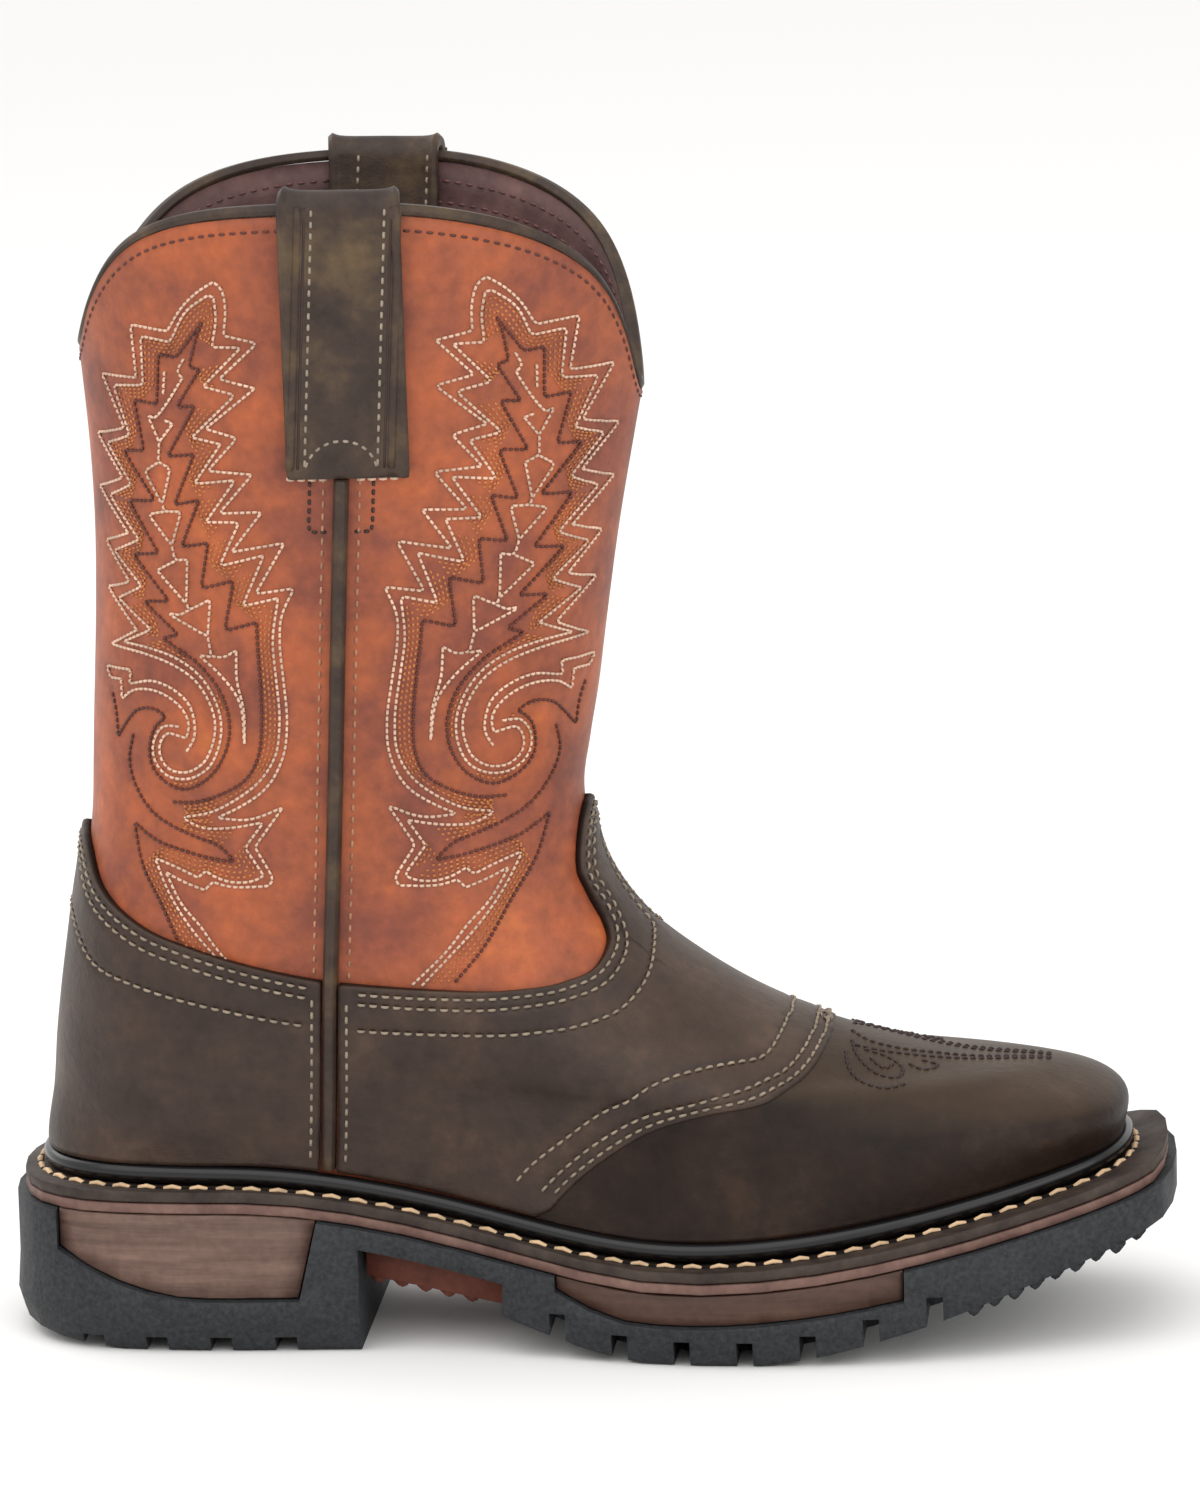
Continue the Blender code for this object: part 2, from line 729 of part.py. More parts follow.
def outsole_profile():
    """Side view of the moulded sole, with the beds of the two wedges."""
    back = -HEEL_OVERHANG - 2 * OUTSOLE_PROUD
    front = SOLE_LENGTH - HEEL_OVERHANG + 2 * OUTSOLE_PROUD
    slant = HEEL_WEDGE_FRONT - HEEL_WEDGE_SLANT
    end_play = GAP + FACET_PLAY
    bevel = np.linspace(0.0, 1.0, 5)
    profile = [
        (HEEL_BEVEL_START + (back - HEEL_BEVEL_START) * t, HEEL_BEVEL_RISE * t**1.4)
        for t in bevel[::-1]
    ]
    profile.append((HEEL_BREAST, 0.0))
    arch = np.linspace(HEEL_BREAST, TREAD_START, 6)
    profile += [(x, float(outsole_top(x)) - ARCH_RUBBER) for x in arch]
    tread = np.concatenate(
        [
            np.linspace(TREAD_START, TREAD_FLAT_BACK, 7),
            np.linspace(TREAD_FLAT_FRONT, front, 13),
        ]
    )
    profile += [(x, float(tread_bottom(x))) for x in tread]
    toe = np.linspace(front, FOREFOOT_WEDGE_FRONT + GAP, 8)
    profile += [(x, float(outsole_top(x))) for x in toe]
    bed = forefoot_wedge_stations()[::-1]
    ends = [FOREFOOT_WEDGE_FRONT + GAP, *bed[1:-1], FOREFOOT_WEDGE_BACK - GAP]
    profile += [(x, float(forefoot_wedge_bottom(x)) - GAP) for x in ends]
    waist = np.linspace(FOREFOOT_WEDGE_BACK - GAP, HEEL_WEDGE_FRONT + end_play, 8)
    profile += [(x, float(outsole_top(x))) for x in waist]
    bed = heel_wedge_stations()[::-1]
    ends = [slant + end_play, *bed[1:-1], HEEL_WEDGE_BACK - GAP]
    profile += [(x, float(heel_wedge_bottom(x)) - GAP) for x in ends]
    heel = np.linspace(HEEL_WEDGE_BACK - GAP, back, 4)
    profile += [(x, float(outsole_top(x))) for x in heel]
    return profile


def add_outsole_block(finish):
    """Plan outline of the moulded sole, drawn in a little at the floor."""
    levels = (
        # height, proud of the welt
        (-1.0, -1.2),
        (0.0, -0.8),
        (2.8, 1.0),
        (8.0, OUTSOLE_PROUD + 0.6),
        (16.0, OUTSOLE_PROUD),
        (HEEL_STACK + TOE_SPRING, OUTSOLE_PROUD),
    )
    sections = []
    for height, proud in levels:
        loop = drawn_in(-proud, -proud, -proud)[:: len(OUTLINE) // (2 * STATIONS)]
        sections.append([(x, y, height) for x, y in loop])
    return add_tube("outsole", sections, False, finish)


def lug_gap_cutter():
    """Gaps between the lugs along both edges of the forefoot."""
    boxes = []
    for i in range(LUG_COUNT):
        x = LUG_FIRST_GAP + (i - 1) * LUG_PITCH
        edge = side_widths(OUTLINE, np.array([x]))
        top = float(tread_bottom(x)) + LUG_DEPTH
        for side, width in ((-1, edge[0][0]), (1, edge[1][0])):
            inner = width - side * LUG_LENGTH
            outer = width + side * 3 * OUTSOLE_PROUD
            boxes.append((x - LUG_GAP / 2, x + LUG_GAP / 2, inner, outer, top))
    return add_boxes("lug_gaps", boxes)


def heel_notch_cutter():
    boxes = []
    for i in range(HEEL_NOTCH_COUNT):
        x = HEEL_NOTCH_FIRST + i * HEEL_NOTCH_PITCH
        edge = side_widths(OUTLINE, np.array([x]))
        for side, width in ((-1, edge[0][0]), (1, edge[1][0])):
            inner = width - side * LUG_LENGTH
            outer = width + side * 3 * OUTSOLE_PROUD
            half = HEEL_NOTCH_GAP / 2
            boxes.append((x - half, x + half, inner, outer, HEEL_NOTCH_DEPTH))
    return add_boxes("heel_notches", boxes)


def centre_groove_cutter():
    """Grooves across the middle of the forefoot tread, between the edge lugs."""
    boxes = []
    for i in range(LUG_COUNT - 1):
        x = LUG_FIRST_GAP + (i - 0.5) * LUG_PITCH
        top = float(tread_bottom(x)) + CENTRE_GROOVE_DEPTH
        boxes.append((x - LUG_GAP / 2, x + LUG_GAP / 2, -CENTRE_LUG_HALF, CENTRE_LUG_HALF, top))
    return add_boxes("centre_grooves", boxes)


def add_boxes(name, boxes):
    """Cutters that come up from under the floor, given as x, x, y, y and their top."""
    points, faces = [], []
    for x0, x1, y0, y1, top in boxes:
        y0, y1 = sorted((y0, y1))
        start = len(points)
        for z in (-CUTTER_REACH, top):
            points += [(x0, y0, z), (x1, y0, z), (x1, y1, z), (x0, y1, z)]
        quads = ((3, 2, 1, 0), (4, 5, 6, 7), (0, 1, 5, 4), (1, 2, 6, 5), (2, 3, 7, 6), (3, 0, 4, 7))
        faces += [tuple(start + i for i in quad) for quad in quads]
    return add_solid(name, points, faces)


def add_outsole(finish):
    outsole = add_outsole_block(finish)
    side = add_side_cutter("outsole_side_view", outsole_profile(), BALL_WIDTH)
    use_boolean(outsole, side, "INTERSECT")
    use_boolean(outsole, lug_gap_cutter(), "DIFFERENCE")
    use_boolean(outsole, centre_groove_cutter(), "DIFFERENCE")
    use_boolean(outsole, heel_notch_cutter(), "DIFFERENCE")
    return outsole


def add_shank_pad(finish):
    """The ribbed pad under the arch, between the heel's breast and the forefoot's rubber."""
    sections = []
    for x in np.linspace(HEEL_BREAST + SHANK_PLAY, TREAD_START - SHANK_PLAY, 6):
        high = float(outsole_top(x)) - ARCH_RUBBER - GAP
        low = high - SHANK_THICK
        y = SHANK_HALF_WIDTH
        sections.append(((x, -y, low), (x, y, low), (x, y, high), (x, -y, high)))
    return add_tube("shank_pad", sections, False, finish)


def leather_over_skin(name, leather, finish):
    """A layer of leather over the whole foot, to be cut to a panel's outline."""
    top_row = RING_KNOTS[9]
    rows = ROWS[1:][ROWS[1:] < top_row]
    rows = np.concatenate([[BEAD_TOP + GAP], rows[1:], [top_row]])
    layers = []
    for out in (GAP + leather, GAP):
        layer = on_skin(*np.meshgrid(COLUMNS, rows), out)
        bead = welt_top(layer[0, :, 0]) + BEAD_HEIGHT + 2 * GAP
        layer[0, :, 2] = np.maximum(layer[0, :, 2], bead)
        layers.append(layer)
    return add_shell(name, *layers, finish)


def edge_line(table, raise_by=0.0, shift=0.0):
    """A panel's edge in side view, in millimetres."""
    return [
        (SOLE_LENGTH * x + shift, HEEL_STACK + INSTEP_RISE * z + raise_by) for x, z in table
    ]


def smooth_line(points, count):
    points = np.array(points, float)
    steps = np.linalg.norm(np.diff(points, axis=0), axis=1)
    knots = np.concatenate([[0.0], np.cumsum(steps)])
    return [tuple(p) for p in catmull(knots, points, np.linspace(0.0, knots[-1], count))]


def height_at_seam(line, offset):
    """Where an edge line crosses the seam's side."""
    points = np.array(line, float)
    beyond = points[:, 0] - seam_x(points[:, 1]) - offset
    order = np.argsort(beyond)
    return float(np.interp(0.0, beyond[order], points[order, 1]))


def add_counter(finish):
    """The heel counter, from the bead to its scooped top edge, back of the side seam."""
    offset = -PIPING_WIDTH / 2 - GAP
    line = smooth_line(edge_line(COUNTER_EDGE), 18)
    top = height_at_seam(line, offset)
    kept = [p for p in line if p[0] < seam_x(p[1]) + offset - 1.0]
    outline = [*kept, (seam_x(top) + offset, top), (seam_x(0.0) + offset, 0.0)]
    outline += [(kept[0][0], 0.0)]
    counter = leather_over_skin("counter", SADDLE_LEATHER, finish)
    use_boolean(counter, add_side_cutter("counter_outline", outline, BALL_WIDTH), "INTERSECT")
    return counter


def add_saddle(finish):
    """The piece over the instep, with a tongue up the front, ahead of the side seam."""
    offset = PIPING_WIDTH / 2 + GAP
    line = smooth_line(edge_line(SADDLE_TOP_EDGE), 26)
    top = height_at_seam(line[:12], offset)
    kept = [p for p in line if p[0] > seam_x(p[1]) + offset + 1.0]
    front = smooth_line(edge_line(SADDLE_FRONT_EDGE), 16)
    outline = [(seam_x(0.0) + offset, 0.0), (seam_x(top) + offset, top), *kept, *front]
    saddle = leather_over_skin("saddle", SADDLE_LEATHER, finish)
    use_boolean(saddle, add_side_cutter("saddle_outline", outline, BALL_WIDTH), "INTERSECT")
    return saddle


def add_vamp(finish):
    """The toe piece, ahead of the saddle."""
    front = smooth_line(edge_line(SADDLE_FRONT_EDGE, shift=GAP * 1.5), 16)
    beyond = SOLE_LENGTH + BALL_WIDTH
    outline = [*front[::-1], (beyond, front[0][1]), (beyond, front[-1][1])]
    vamp = leather_over_skin("vamp", VAMP_LEATHER, finish)
    use_boolean(vamp, add_side_cutter("vamp_outline", outline, BALL_WIDTH), "INTERSECT")
    return vamp


def strap_foot():
    """Height of the strap's lower end on the outside of the shaft."""
    return HEEL_STACK + INSTEP_RISE + SHAFT_RISE - STRAP_LENGTH


def add_piping(name, side, finish):
    """The welted cord over the side seam, from the bead up to the pull strap."""
    half = PIPING_WIDTH / 2
    profile = (
        # along x from the seam, out from the skin
        (-half, GAP + FACET_PLAY),
        (-half, 0.6 * PIPING_HEIGHT),
        (-0.45 * half, PIPING_HEIGHT),
        (0.45 * half, PIPING_HEIGHT),
        (half, 0.6 * PIPING_HEIGHT),
        (half, GAP + FACET_PLAY),
    )
    last = row_at_height(strap_foot() - GAP, seam_x, side)
    rows = np.concatenate([[BEAD_TOP + 2 * GAP], ROWS[2:][ROWS[2:] < last - 2.0], [last]])
    sections = []
    for up in rows:
        section = []
        for dx, out in profile:
            angle = side_angle(up, lambda z: seam_x(z) + dx, side)
            section.append(on_skin(angle, up, out)[0])
        sections.append(section)
    return add_tube(name, sections, False, finish)


def add_top_binding(finish):
    """The rolled leather edge on the rim."""
    middle = -WALL / 2
    half = BINDING_WIDTH / 2
    profile = (
        # out from the skin, above the rim
        (middle - 0.75 * half, GAP),
        (middle + 0.75 * half, GAP),
        (middle + half, 0.5 * BINDING_HEIGHT),
        (middle + 0.55 * half, BINDING_HEIGHT),
        (middle - 0.55 * half, BINDING_HEIGHT),
        (middle - half, 0.5 * BINDING_HEIGHT),
    )
    sections = []
    for angle in COLUMNS:
        up = rim_direction(angle)[0]
        sections.append([on_skin(angle, RIM, out)[0] + up * rise for out, rise in profile])
    return add_tube("top_binding", sections, True, finish)


def add_pull_strap(name, side, finish):
    """A strap of leather over the rim, sewn down outside and inside, with beaded edges."""
    half = STRAP_WIDTH / 2
    thick = STRAP_LEATHER
    proud = thick + STRAP_BEAD_HEIGHT
    inner_edge = half - STRAP_BEAD_WIDTH
    profile = (
        # across, away from the wall
        (-half, 0.0),
        (-half, 0.7 * proud),
        (-half + 0.4 * STRAP_BEAD_WIDTH, proud),
        (-inner_edge, thick),
        (0.0, thick),
        (inner_edge, thick),
        (half - 0.4 * STRAP_BEAD_WIDTH, proud),
        (half, 0.7 * proud),
        (half, 0.0),
        (0.5 * half, 0.0),
        (0.0, 0.0),
        (-0.5 * half, 0.0),
    )
    return add_tube(name, strap_sections(profile, side), False, finish)


def strap_sections(profile, side):
    """Sections of the strap along its run: up the wall, over the binding, down inside."""
    middle = -WALL / 2
    to_wall = WALL / 2 + GAP + FACET_PLAY
    to_binding = BINDING_WIDTH / 2 + GAP
    over = BINDING_HEIGHT + GAP + STRAP_LOOP_RISE
    columns = []
    for across, away in profile:
        place = STRAP_MIDDLE + across
        arch = STRAP_ARCH * max(0.0, 1.0 - (across / (0.28 * STRAP_WIDTH)) ** 2)
        foot = row_at_height(strap_foot() + arch, lambda z: place, side)
        column = []
        for row in np.linspace(foot, RIM - 2 * WALL, 8):
            angle = side_angle(row, lambda z: place, side)
            column.append(on_skin(angle, row, middle + to_wall + away)[0])
        angle = side_angle(RIM, lambda z: place, side)
        rim = on_skin(angle, RIM, 0.0)[0]
        out = on_skin(angle, RIM, 1.0)[0] - rim
        up = rim_direction(angle)[0]
        reach = to_binding + away
        shoulder = over - to_binding
        column.append(rim + out * (middle + reach))
        for turn in (0.0, 30.0, 60.0, 90.0, 120.0, 150.0, 180.0):
            bow = math.radians(turn)
            level = shoulder + reach * math.sin(bow)
            column.append(rim + out * (middle + reach * math.cos(bow)) + up * level)
        column.append(rim + out * (middle - reach))
        for row in np.linspace(RIM - 2 * WALL, RIM - STRAP_INNER_LENGTH, 5):
            angle = side_angle(row, lambda z: place, side)
            column.append(on_skin(angle, row, middle - to_wall - away)[0])
        columns.append(column)
    return np.array(columns).transpose(1, 0, 2)


def main():
    clear_scene()
    shaft_leather = material("rust_leather", (0.33, 0.09, 0.035), 0.6)
    foot_leather = material("dark_brown_leather", (0.06, 0.035, 0.025), 0.55)
    trim_leather = material("grey_brown_leather", (0.10, 0.08, 0.06), 0.5)
    bead_rubber = material("black_bead_rubber", (0.015, 0.014, 0.013), 0.3, 0.5)
    welt_leather = material("grey_welt_leather", (0.06, 0.055, 0.05), 0.7)
    midsole_board = material("pink_brown_midsole", (0.20, 0.12, 0.09), 0.7)
    wedge_board = material("brown_wedge_board", (0.09, 0.045, 0.025), 0.6)
    sole_rubber = material("black_sole_rubber", (0.02, 0.02, 0.02), 0.6)
    pad_rubber = material("red_brown_pad_rubber", (0.08, 0.03, 0.02), 0.7)
    footbed = material("footbed_fabric", (0.09, 0.06, 0.05), 0.9)

    add_outsole(sole_rubber)
    add_heel_wedge(wedge_board)
    add_forefoot_wedge(wedge_board)
    add_shank_pad(pad_rubber)
    add_midsole(midsole_board)
    add_welt(welt_leather)
    add_insole(footbed)
    add_upper(shaft_leather)
    add_rand(bead_rubber)
    add_vamp(foot_leather)
    add_saddle(foot_leather)
    add_counter(foot_leather)
    for side, name in ((-1, "lateral"), (1, "medial")):
        add_piping("piping_" + name, side, trim_leather)
        add_pull_strap("pull_strap_" + name, side, trim_leather)
    add_top_binding(trim_leather)


main()
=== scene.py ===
"""Looks of a right western boot, dressed over its solids: +X to the toe, +Y to the inner
side, +Z up, in metres. Lengths inside the sections are in millimetres, turned by MM."""

import math

import bmesh
import bpy
import numpy as np
from mathutils import Matrix, Vector
from mathutils.bvhtree import BVHTree
from mathutils.kdtree import KDTree


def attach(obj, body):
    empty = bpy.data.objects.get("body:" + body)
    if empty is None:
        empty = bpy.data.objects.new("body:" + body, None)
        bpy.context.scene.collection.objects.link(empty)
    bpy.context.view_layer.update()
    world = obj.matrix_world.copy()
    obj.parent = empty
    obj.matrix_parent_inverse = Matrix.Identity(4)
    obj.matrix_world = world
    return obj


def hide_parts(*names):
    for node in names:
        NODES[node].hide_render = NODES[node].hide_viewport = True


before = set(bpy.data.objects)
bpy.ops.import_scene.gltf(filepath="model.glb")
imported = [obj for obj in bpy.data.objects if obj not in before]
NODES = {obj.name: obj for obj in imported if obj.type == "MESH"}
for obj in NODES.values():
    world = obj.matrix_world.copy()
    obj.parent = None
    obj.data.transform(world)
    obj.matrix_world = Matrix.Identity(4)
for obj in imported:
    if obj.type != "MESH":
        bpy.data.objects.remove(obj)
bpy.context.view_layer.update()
MM = 0.001

# Studio: a pale paper floor, one broad soft light over the boot with two fills, and the
# camera at the picture's angle, a little above the boot and 5 degrees off its outer side.


def linear(colour):
    """An sRGB hex colour as linear red, green, blue and alpha."""
    channels = [int(colour[i : i + 2], 16) / 255 for i in (0, 2, 4)]
    return [c / 12.92 if c <= 0.04045 else ((c + 0.055) / 1.055) ** 2.4 for c in channels] + [1.0]


def add_node(tree, kind, inputs=None, links=None, **settings):
    """Adds a shader node with its settings, its input values and its links."""
    made = tree.nodes.new(kind)
    for name, value in settings.items():
        setattr(made, name, value)
    for name, value in (inputs or {}).items():
        made.inputs[name].default_value = value
    for name, source in (links or {}).items():
        tree.links.new(source, made.inputs[name])
    return made


def new_material(name, colour=None, **sockets):
    """A material with one principled shader, whose constant sockets are set here."""
    made = bpy.data.materials.new(name)
    made.use_nodes = True
    tree = made.node_tree
    tree.nodes.clear()
    shader = add_node(tree, "ShaderNodeBsdfPrincipled")
    for socket, value in sockets.items():
        shader.inputs[socket.replace("_", " ")].default_value = value
    if colour:
        shader.inputs["Base Color"].default_value = linear(colour)
    output = add_node(tree, "ShaderNodeOutputMaterial")
    tree.links.new(shader.outputs["BSDF"], output.inputs["Surface"])
    return made, tree, shader


# Seamless studio paper: uncoated card, so it takes the boot's soft shadow and shows no glare.
paper, _, _ = new_material("seamless_paper_matte", "f4f3f1", Roughness=0.9)
FLOOR_SPAN, FLOOR_DROP = 40.0, 0.0002
bpy.ops.mesh.primitive_plane_add(size=FLOOR_SPAN, location=(0.1, 0.0, -FLOOR_DROP))
floor = bpy.context.object
floor.name = "studio_floor"
floor.data.materials.append(paper)

CAMERA_AZIMUTH, CAMERA_ELEVATION, CAMERA_ROLL = 5.0, 11.5, 1.5
CAMERA_DISTANCE, PIXEL_SPAN, PICTURE_HEIGHT = 1700.0, 0.2103, 1500
SENSOR_WIDTH = 36.0
CAMERA_TARGET = Vector((97.8, 0.0, 121.8)) * MM
turn, rise = math.radians(CAMERA_AZIMUTH), math.radians(CAMERA_ELEVATION)
away = Vector((math.sin(turn) * math.cos(rise), -math.cos(turn) * math.cos(rise), math.sin(rise)))
camera_data = bpy.data.cameras.new("studio_camera")
camera_data.sensor_width = SENSOR_WIDTH
camera_data.lens = SENSOR_WIDTH * CAMERA_DISTANCE / (PICTURE_HEIGHT * PIXEL_SPAN)
camera = bpy.data.objects.new("studio_camera", camera_data)
camera.location = CAMERA_TARGET + away * CAMERA_DISTANCE * MM
level = away.to_track_quat("Z", "Y").to_matrix()
camera.rotation_euler = (level @ Matrix.Rotation(math.radians(-CAMERA_ROLL), 3, "Z")).to_euler()
bpy.context.scene.collection.objects.link(camera)
bpy.context.scene.camera = camera

LIGHTS = (
    # name, place, size, watts
    ("overhead_softbox", (-0.25, -0.75, 1.25), 1.8, 11.0),
    ("front_fill", (0.95, -0.95, 0.55), 0.9, 3.5),
    ("back_fill", (-0.8, 0.7, 0.9), 0.9, 3.5),
)
for name, place, size, watts in LIGHTS:
    lamp_data = bpy.data.lights.new(name, "AREA")
    lamp_data.size = size
    lamp_data.energy = watts
    lamp = bpy.data.objects.new(name, lamp_data)
    lamp.location = place
    lamp.rotation_euler = (Vector(place) - CAMERA_TARGET).to_track_quat("Z", "Y").to_euler()
    bpy.context.scene.collection.objects.link(lamp)
world = bpy.data.worlds.new("studio_air")
world.use_nodes = True
world.node_tree.nodes["Background"].inputs["Color"].default_value = linear("ffffff")
world.node_tree.nodes["Background"].inputs["Strength"].default_value = 1.03
bpy.context.scene.world = world
bpy.context.scene.view_settings.view_transform = "Standard"

# Upper: the shaft and the leather under the brown pieces, one lasted shape of oiled hide,
# burnt orange and mottled where it has been pulled. Its solid gives rows from foot to rim
# and columns from the back, over the outer side, to the front and home.


SHARP_COSINE = 0.6


def smooth_faces(seed):
    """Faces joined to the seed without a sharp edge between them."""
    found, front = {seed}, [seed]
    while front:
        face = front.pop()
        for edge in face.edges:
            for other in edge.link_faces:
                if other not in found and other.normal.dot(face.normal) > SHARP_COSINE:
                    found.add(other)
                    front.append(other)
    return found


def outer_grid(node):
    """The outer face of the upper's solid as an array of rows and columns, millimetres."""
    work = bmesh.new()
    work.from_mesh(node.data)
    bmesh.ops.remove_doubles(work, verts=work.verts, dist=1e-6)
    work.normal_update()
    seed = min(work.faces, key=lambda f: f.calc_center_median().x)
    shell = smooth_faces(seed)
    verts = {v for face in shell for v in face.verts}
    column = [v for v in verts if abs(v.co.y) < 1e-5 and v.co.x < 0.05]
    seen, columns = set(column), [column]
    while True:
        found = set()
        for v in columns[-1]:
            for edge in v.link_edges:
                other = edge.other_vert(v)
                if other in verts and other not in seen and (len(columns) > 1 or other.co.y < 0):
                    found.add(other)
        if not found:
            break
        columns.append(list(found))
        seen |= found
    counts = {len(c) for c in columns}
    if len(counts) > 1:
        raise RuntimeError(f"the upper's columns differ: {counts}")
    grid = [[list(v.co) for v in sorted(c, key=lambda v: v.co.z)] for c in columns]
    work.free()
    return np.array(grid).transpose(1, 0, 2) / MM


def through(knots, values, at):
    """A smooth curve through values at knots, read at other places, along the first axis."""
    slopes = np.gradient(values, knots, axis=0)
    left = np.clip(np.searchsorted(knots, at, side="right") - 1, 0, len(knots) - 2)
    step = (knots[left + 1] - knots[left])[:, None, None]
    t = (at - knots[left])[:, None, None] / step
    start = (2 * t**3 - 3 * t**2 + 1) * values[left] + (3 * t**2 - 2 * t**3) * values[left + 1]
    bend = (t**3 - 2 * t**2 + t) * slopes[left] + (t**3 - t**2) * slopes[left + 1]
    return start + bend * step


# The skin: the solid's outer face made fine, read by angle round the boot (0 at the back, 180 at
# the front) and by "up", the mean length along the skin from the foot.
COARSE = outer_grid(NODES["upper"])
row_steps = np.linalg.norm(np.diff(COARSE, axis=0), axis=2).mean(axis=1)
UP_KNOTS = np.concatenate([[0.0], np.cumsum(row_steps)])
BEAD_TOP, RIM = float(UP_KNOTS[1]), float(UP_KNOTS[-1])
DENSE_ROWS, DENSE_COLUMNS = 420, 960
ups = np.linspace(0.0, RIM, DENSE_ROWS)
rows = through(UP_KNOTS, COARSE, ups)
PAD = 4
wrapped = np.concatenate([rows[:, -PAD:], rows, rows[:, :PAD]], axis=1).transpose(1, 0, 2)
knots = (np.arange(len(wrapped)) - PAD) * 360.0 / COARSE.shape[1]
SKIN = through(knots, wrapped, np.arange(DENSE_COLUMNS) * 360.0 / DENSE_COLUMNS).transpose(1, 0, 2)
ALONG = (np.roll(SKIN, -1, axis=1) - np.roll(SKIN, 1, axis=1)) / (2 * 360.0 / DENSE_COLUMNS)
CLIMB = np.gradient(SKIN, ups, axis=0)
OUTWARD = np.cross(ALONG, CLIMB)
OUTWARD /= np.linalg.norm(OUTWARD, axis=2)[:, :, None]


def read_grid(grid, angle, up):
    """A skin grid's value at an angle round the boot and a length up the skin."""
    angle, up = np.broadcast_arrays(np.asarray(angle, float), np.asarray(up, float))
    a = angle % 360.0 / 360.0 * DENSE_COLUMNS
    v = np.clip(up / RIM, 0.0, 1.0) * (DENSE_ROWS - 1)
    a0 = np.floor(a).astype(int) % DENSE_COLUMNS
    v0 = np.minimum(np.floor(v).astype(int), DENSE_ROWS - 2)
    ta, tv = (a - np.floor(a))[..., None], (v - v0)[..., None]
    a1 = (a0 + 1) % DENSE_COLUMNS
    low = grid[v0, a0] * (1 - ta) + grid[v0, a1] * ta
    high = grid[v0 + 1, a0] * (1 - ta) + grid[v0 + 1, a1] * ta
    return low * (1 - tv) + high * tv


def outward(angle, up):
    """The direction straight out of the upper's face."""
    normal = read_grid(OUTWARD, angle, up)
    return normal / np.linalg.norm(normal, axis=-1)[..., None]


def on_skin(angle, up, out):
    """A point this far outside the upper's face."""
    return read_grid(SKIN, angle, up) + outward(angle, up) * np.asarray(out)[..., None]


SIDES = (-1, 1)


def nearest(places):
    """A tree that finds the nearest of these places."""
    tree = KDTree(len(places))
    for i, place in enumerate(places):
        tree.insert(place, i)
    tree.balance()
    return tree


def side_finder(side):
    """Looks up angle and length for places in side view, on one side of the boot."""
    half = DENSE_COLUMNS // 2
    columns = np.arange(0, half + 1, 2) if side < 0 else np.arange(half, DENSE_COLUMNS + 1, 2)
    seen, places = [], []
    for c in columns:
        for r in range(10, DENSE_ROWS):
            x, _, z = SKIN[r, c % DENSE_COLUMNS]
            seen.append((x, z, 0.0))
            places.append((c * 360.0 / DENSE_COLUMNS, ups[r]))
    return nearest(seen), np.array(places)


FINDERS = {side: side_finder(side) for side in SIDES}


def locate(x, z, side):
    """Angle and length up the skin of a place in side view."""
    tree, places = FINDERS[side]
    angle, up = places[tree.find((x, z, 0.0))[1]]
    low, high = (0.0, 180.0) if side < 0 else (180.0, 360.0)
    for _ in range(3):
        here = read_grid(SKIN, angle, up)
        across, climb = read_grid(ALONG, angle, up), read_grid(CLIMB, angle, up)
        det = across[0] * climb[2] - climb[0] * across[2]
        if abs(det) < 0.08:
            break
        dx, dz = x - here[0], z - here[2]
        angle += np.clip((dx * climb[2] - climb[0] * dz) / det, -1.0, 1.0)
        up += np.clip((across[0] * dz - dx * across[2]) / det, -1.0, 1.0)
        angle, up = float(np.clip(angle, low, high)), float(np.clip(up, 0.0, RIM))
    return angle, up


def add_piece(name, points, faces, material, slot, *replaced):
    """A smooth mesh from millimetre points, riding on the boot."""
    mesh = bpy.data.meshes.new(name)
    mesh.from_pydata(np.asarray(points, float) * MM, [], faces)
    mesh.materials.append(material)
    piece = bpy.data.objects.new(name, mesh)
    bpy.context.scene.collection.objects.link(piece)
    settle(piece)
    return finish_piece(piece, slot, *replaced)


def settle(piece):
    """Merges doubles and turns the faces outwards."""
    work = bmesh.new()
    work.from_mesh(piece.data)
    bmesh.ops.remove_doubles(work, verts=work.verts, dist=1e-7)
    bmesh.ops.recalc_face_normals(work, faces=work.faces)
    work.to_mesh(piece.data)
    work.free()
    piece.data.shade_smooth()


def finish_piece(piece, slot, *replaced):
    """Rides a piece on the boot and hides the nodes it stands for. The slot is not used."""
    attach(piece, "root")
    if replaced:
        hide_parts(*replaced)
    return piece


def grid_quads(rows, columns, start, closed, turned):
    """Faces of a grid of points, whose last column may join the first."""
    faces = []
    for i in range(rows - 1):
        for j in range(columns if closed else columns - 1):
            k = (j + 1) % columns
            quad = (i * columns + j, i * columns + k, (i + 1) * columns + k, (i + 1) * columns + j)
            quad = [start + corner for corner in quad]
            faces.append(quad[::-1] if turned else quad)
    return faces


def leather_shell(outer, inner, closed):
    """Points and faces of a sheet with two faces, closed by its edges."""
    rows, columns, _ = outer.shape
    shift = rows * columns
    faces = grid_quads(rows, columns, 0, closed, False)
    faces += grid_quads(rows, columns, shift, closed, True)
    rim = list(range(columns)) + ([0] if closed else [])
    for j, k in zip(rim[:-1], rim[1:]):
        top = (rows - 1) * columns
        faces.append((k, j, shift + j, shift + k))
        faces.append((top + j, top + k, shift + top + k, shift + top + j))
    if not closed:
        for i in range(rows - 1):
            a, b = i * columns, (i + 1) * columns
            faces.append((a, b, shift + b, shift + a))
            a, b = a + columns - 1, b + columns - 1
            faces.append((b, a, shift + a, shift + b))
    return np.concatenate([outer.reshape(-1, 3), inner.reshape(-1, 3)]), faces


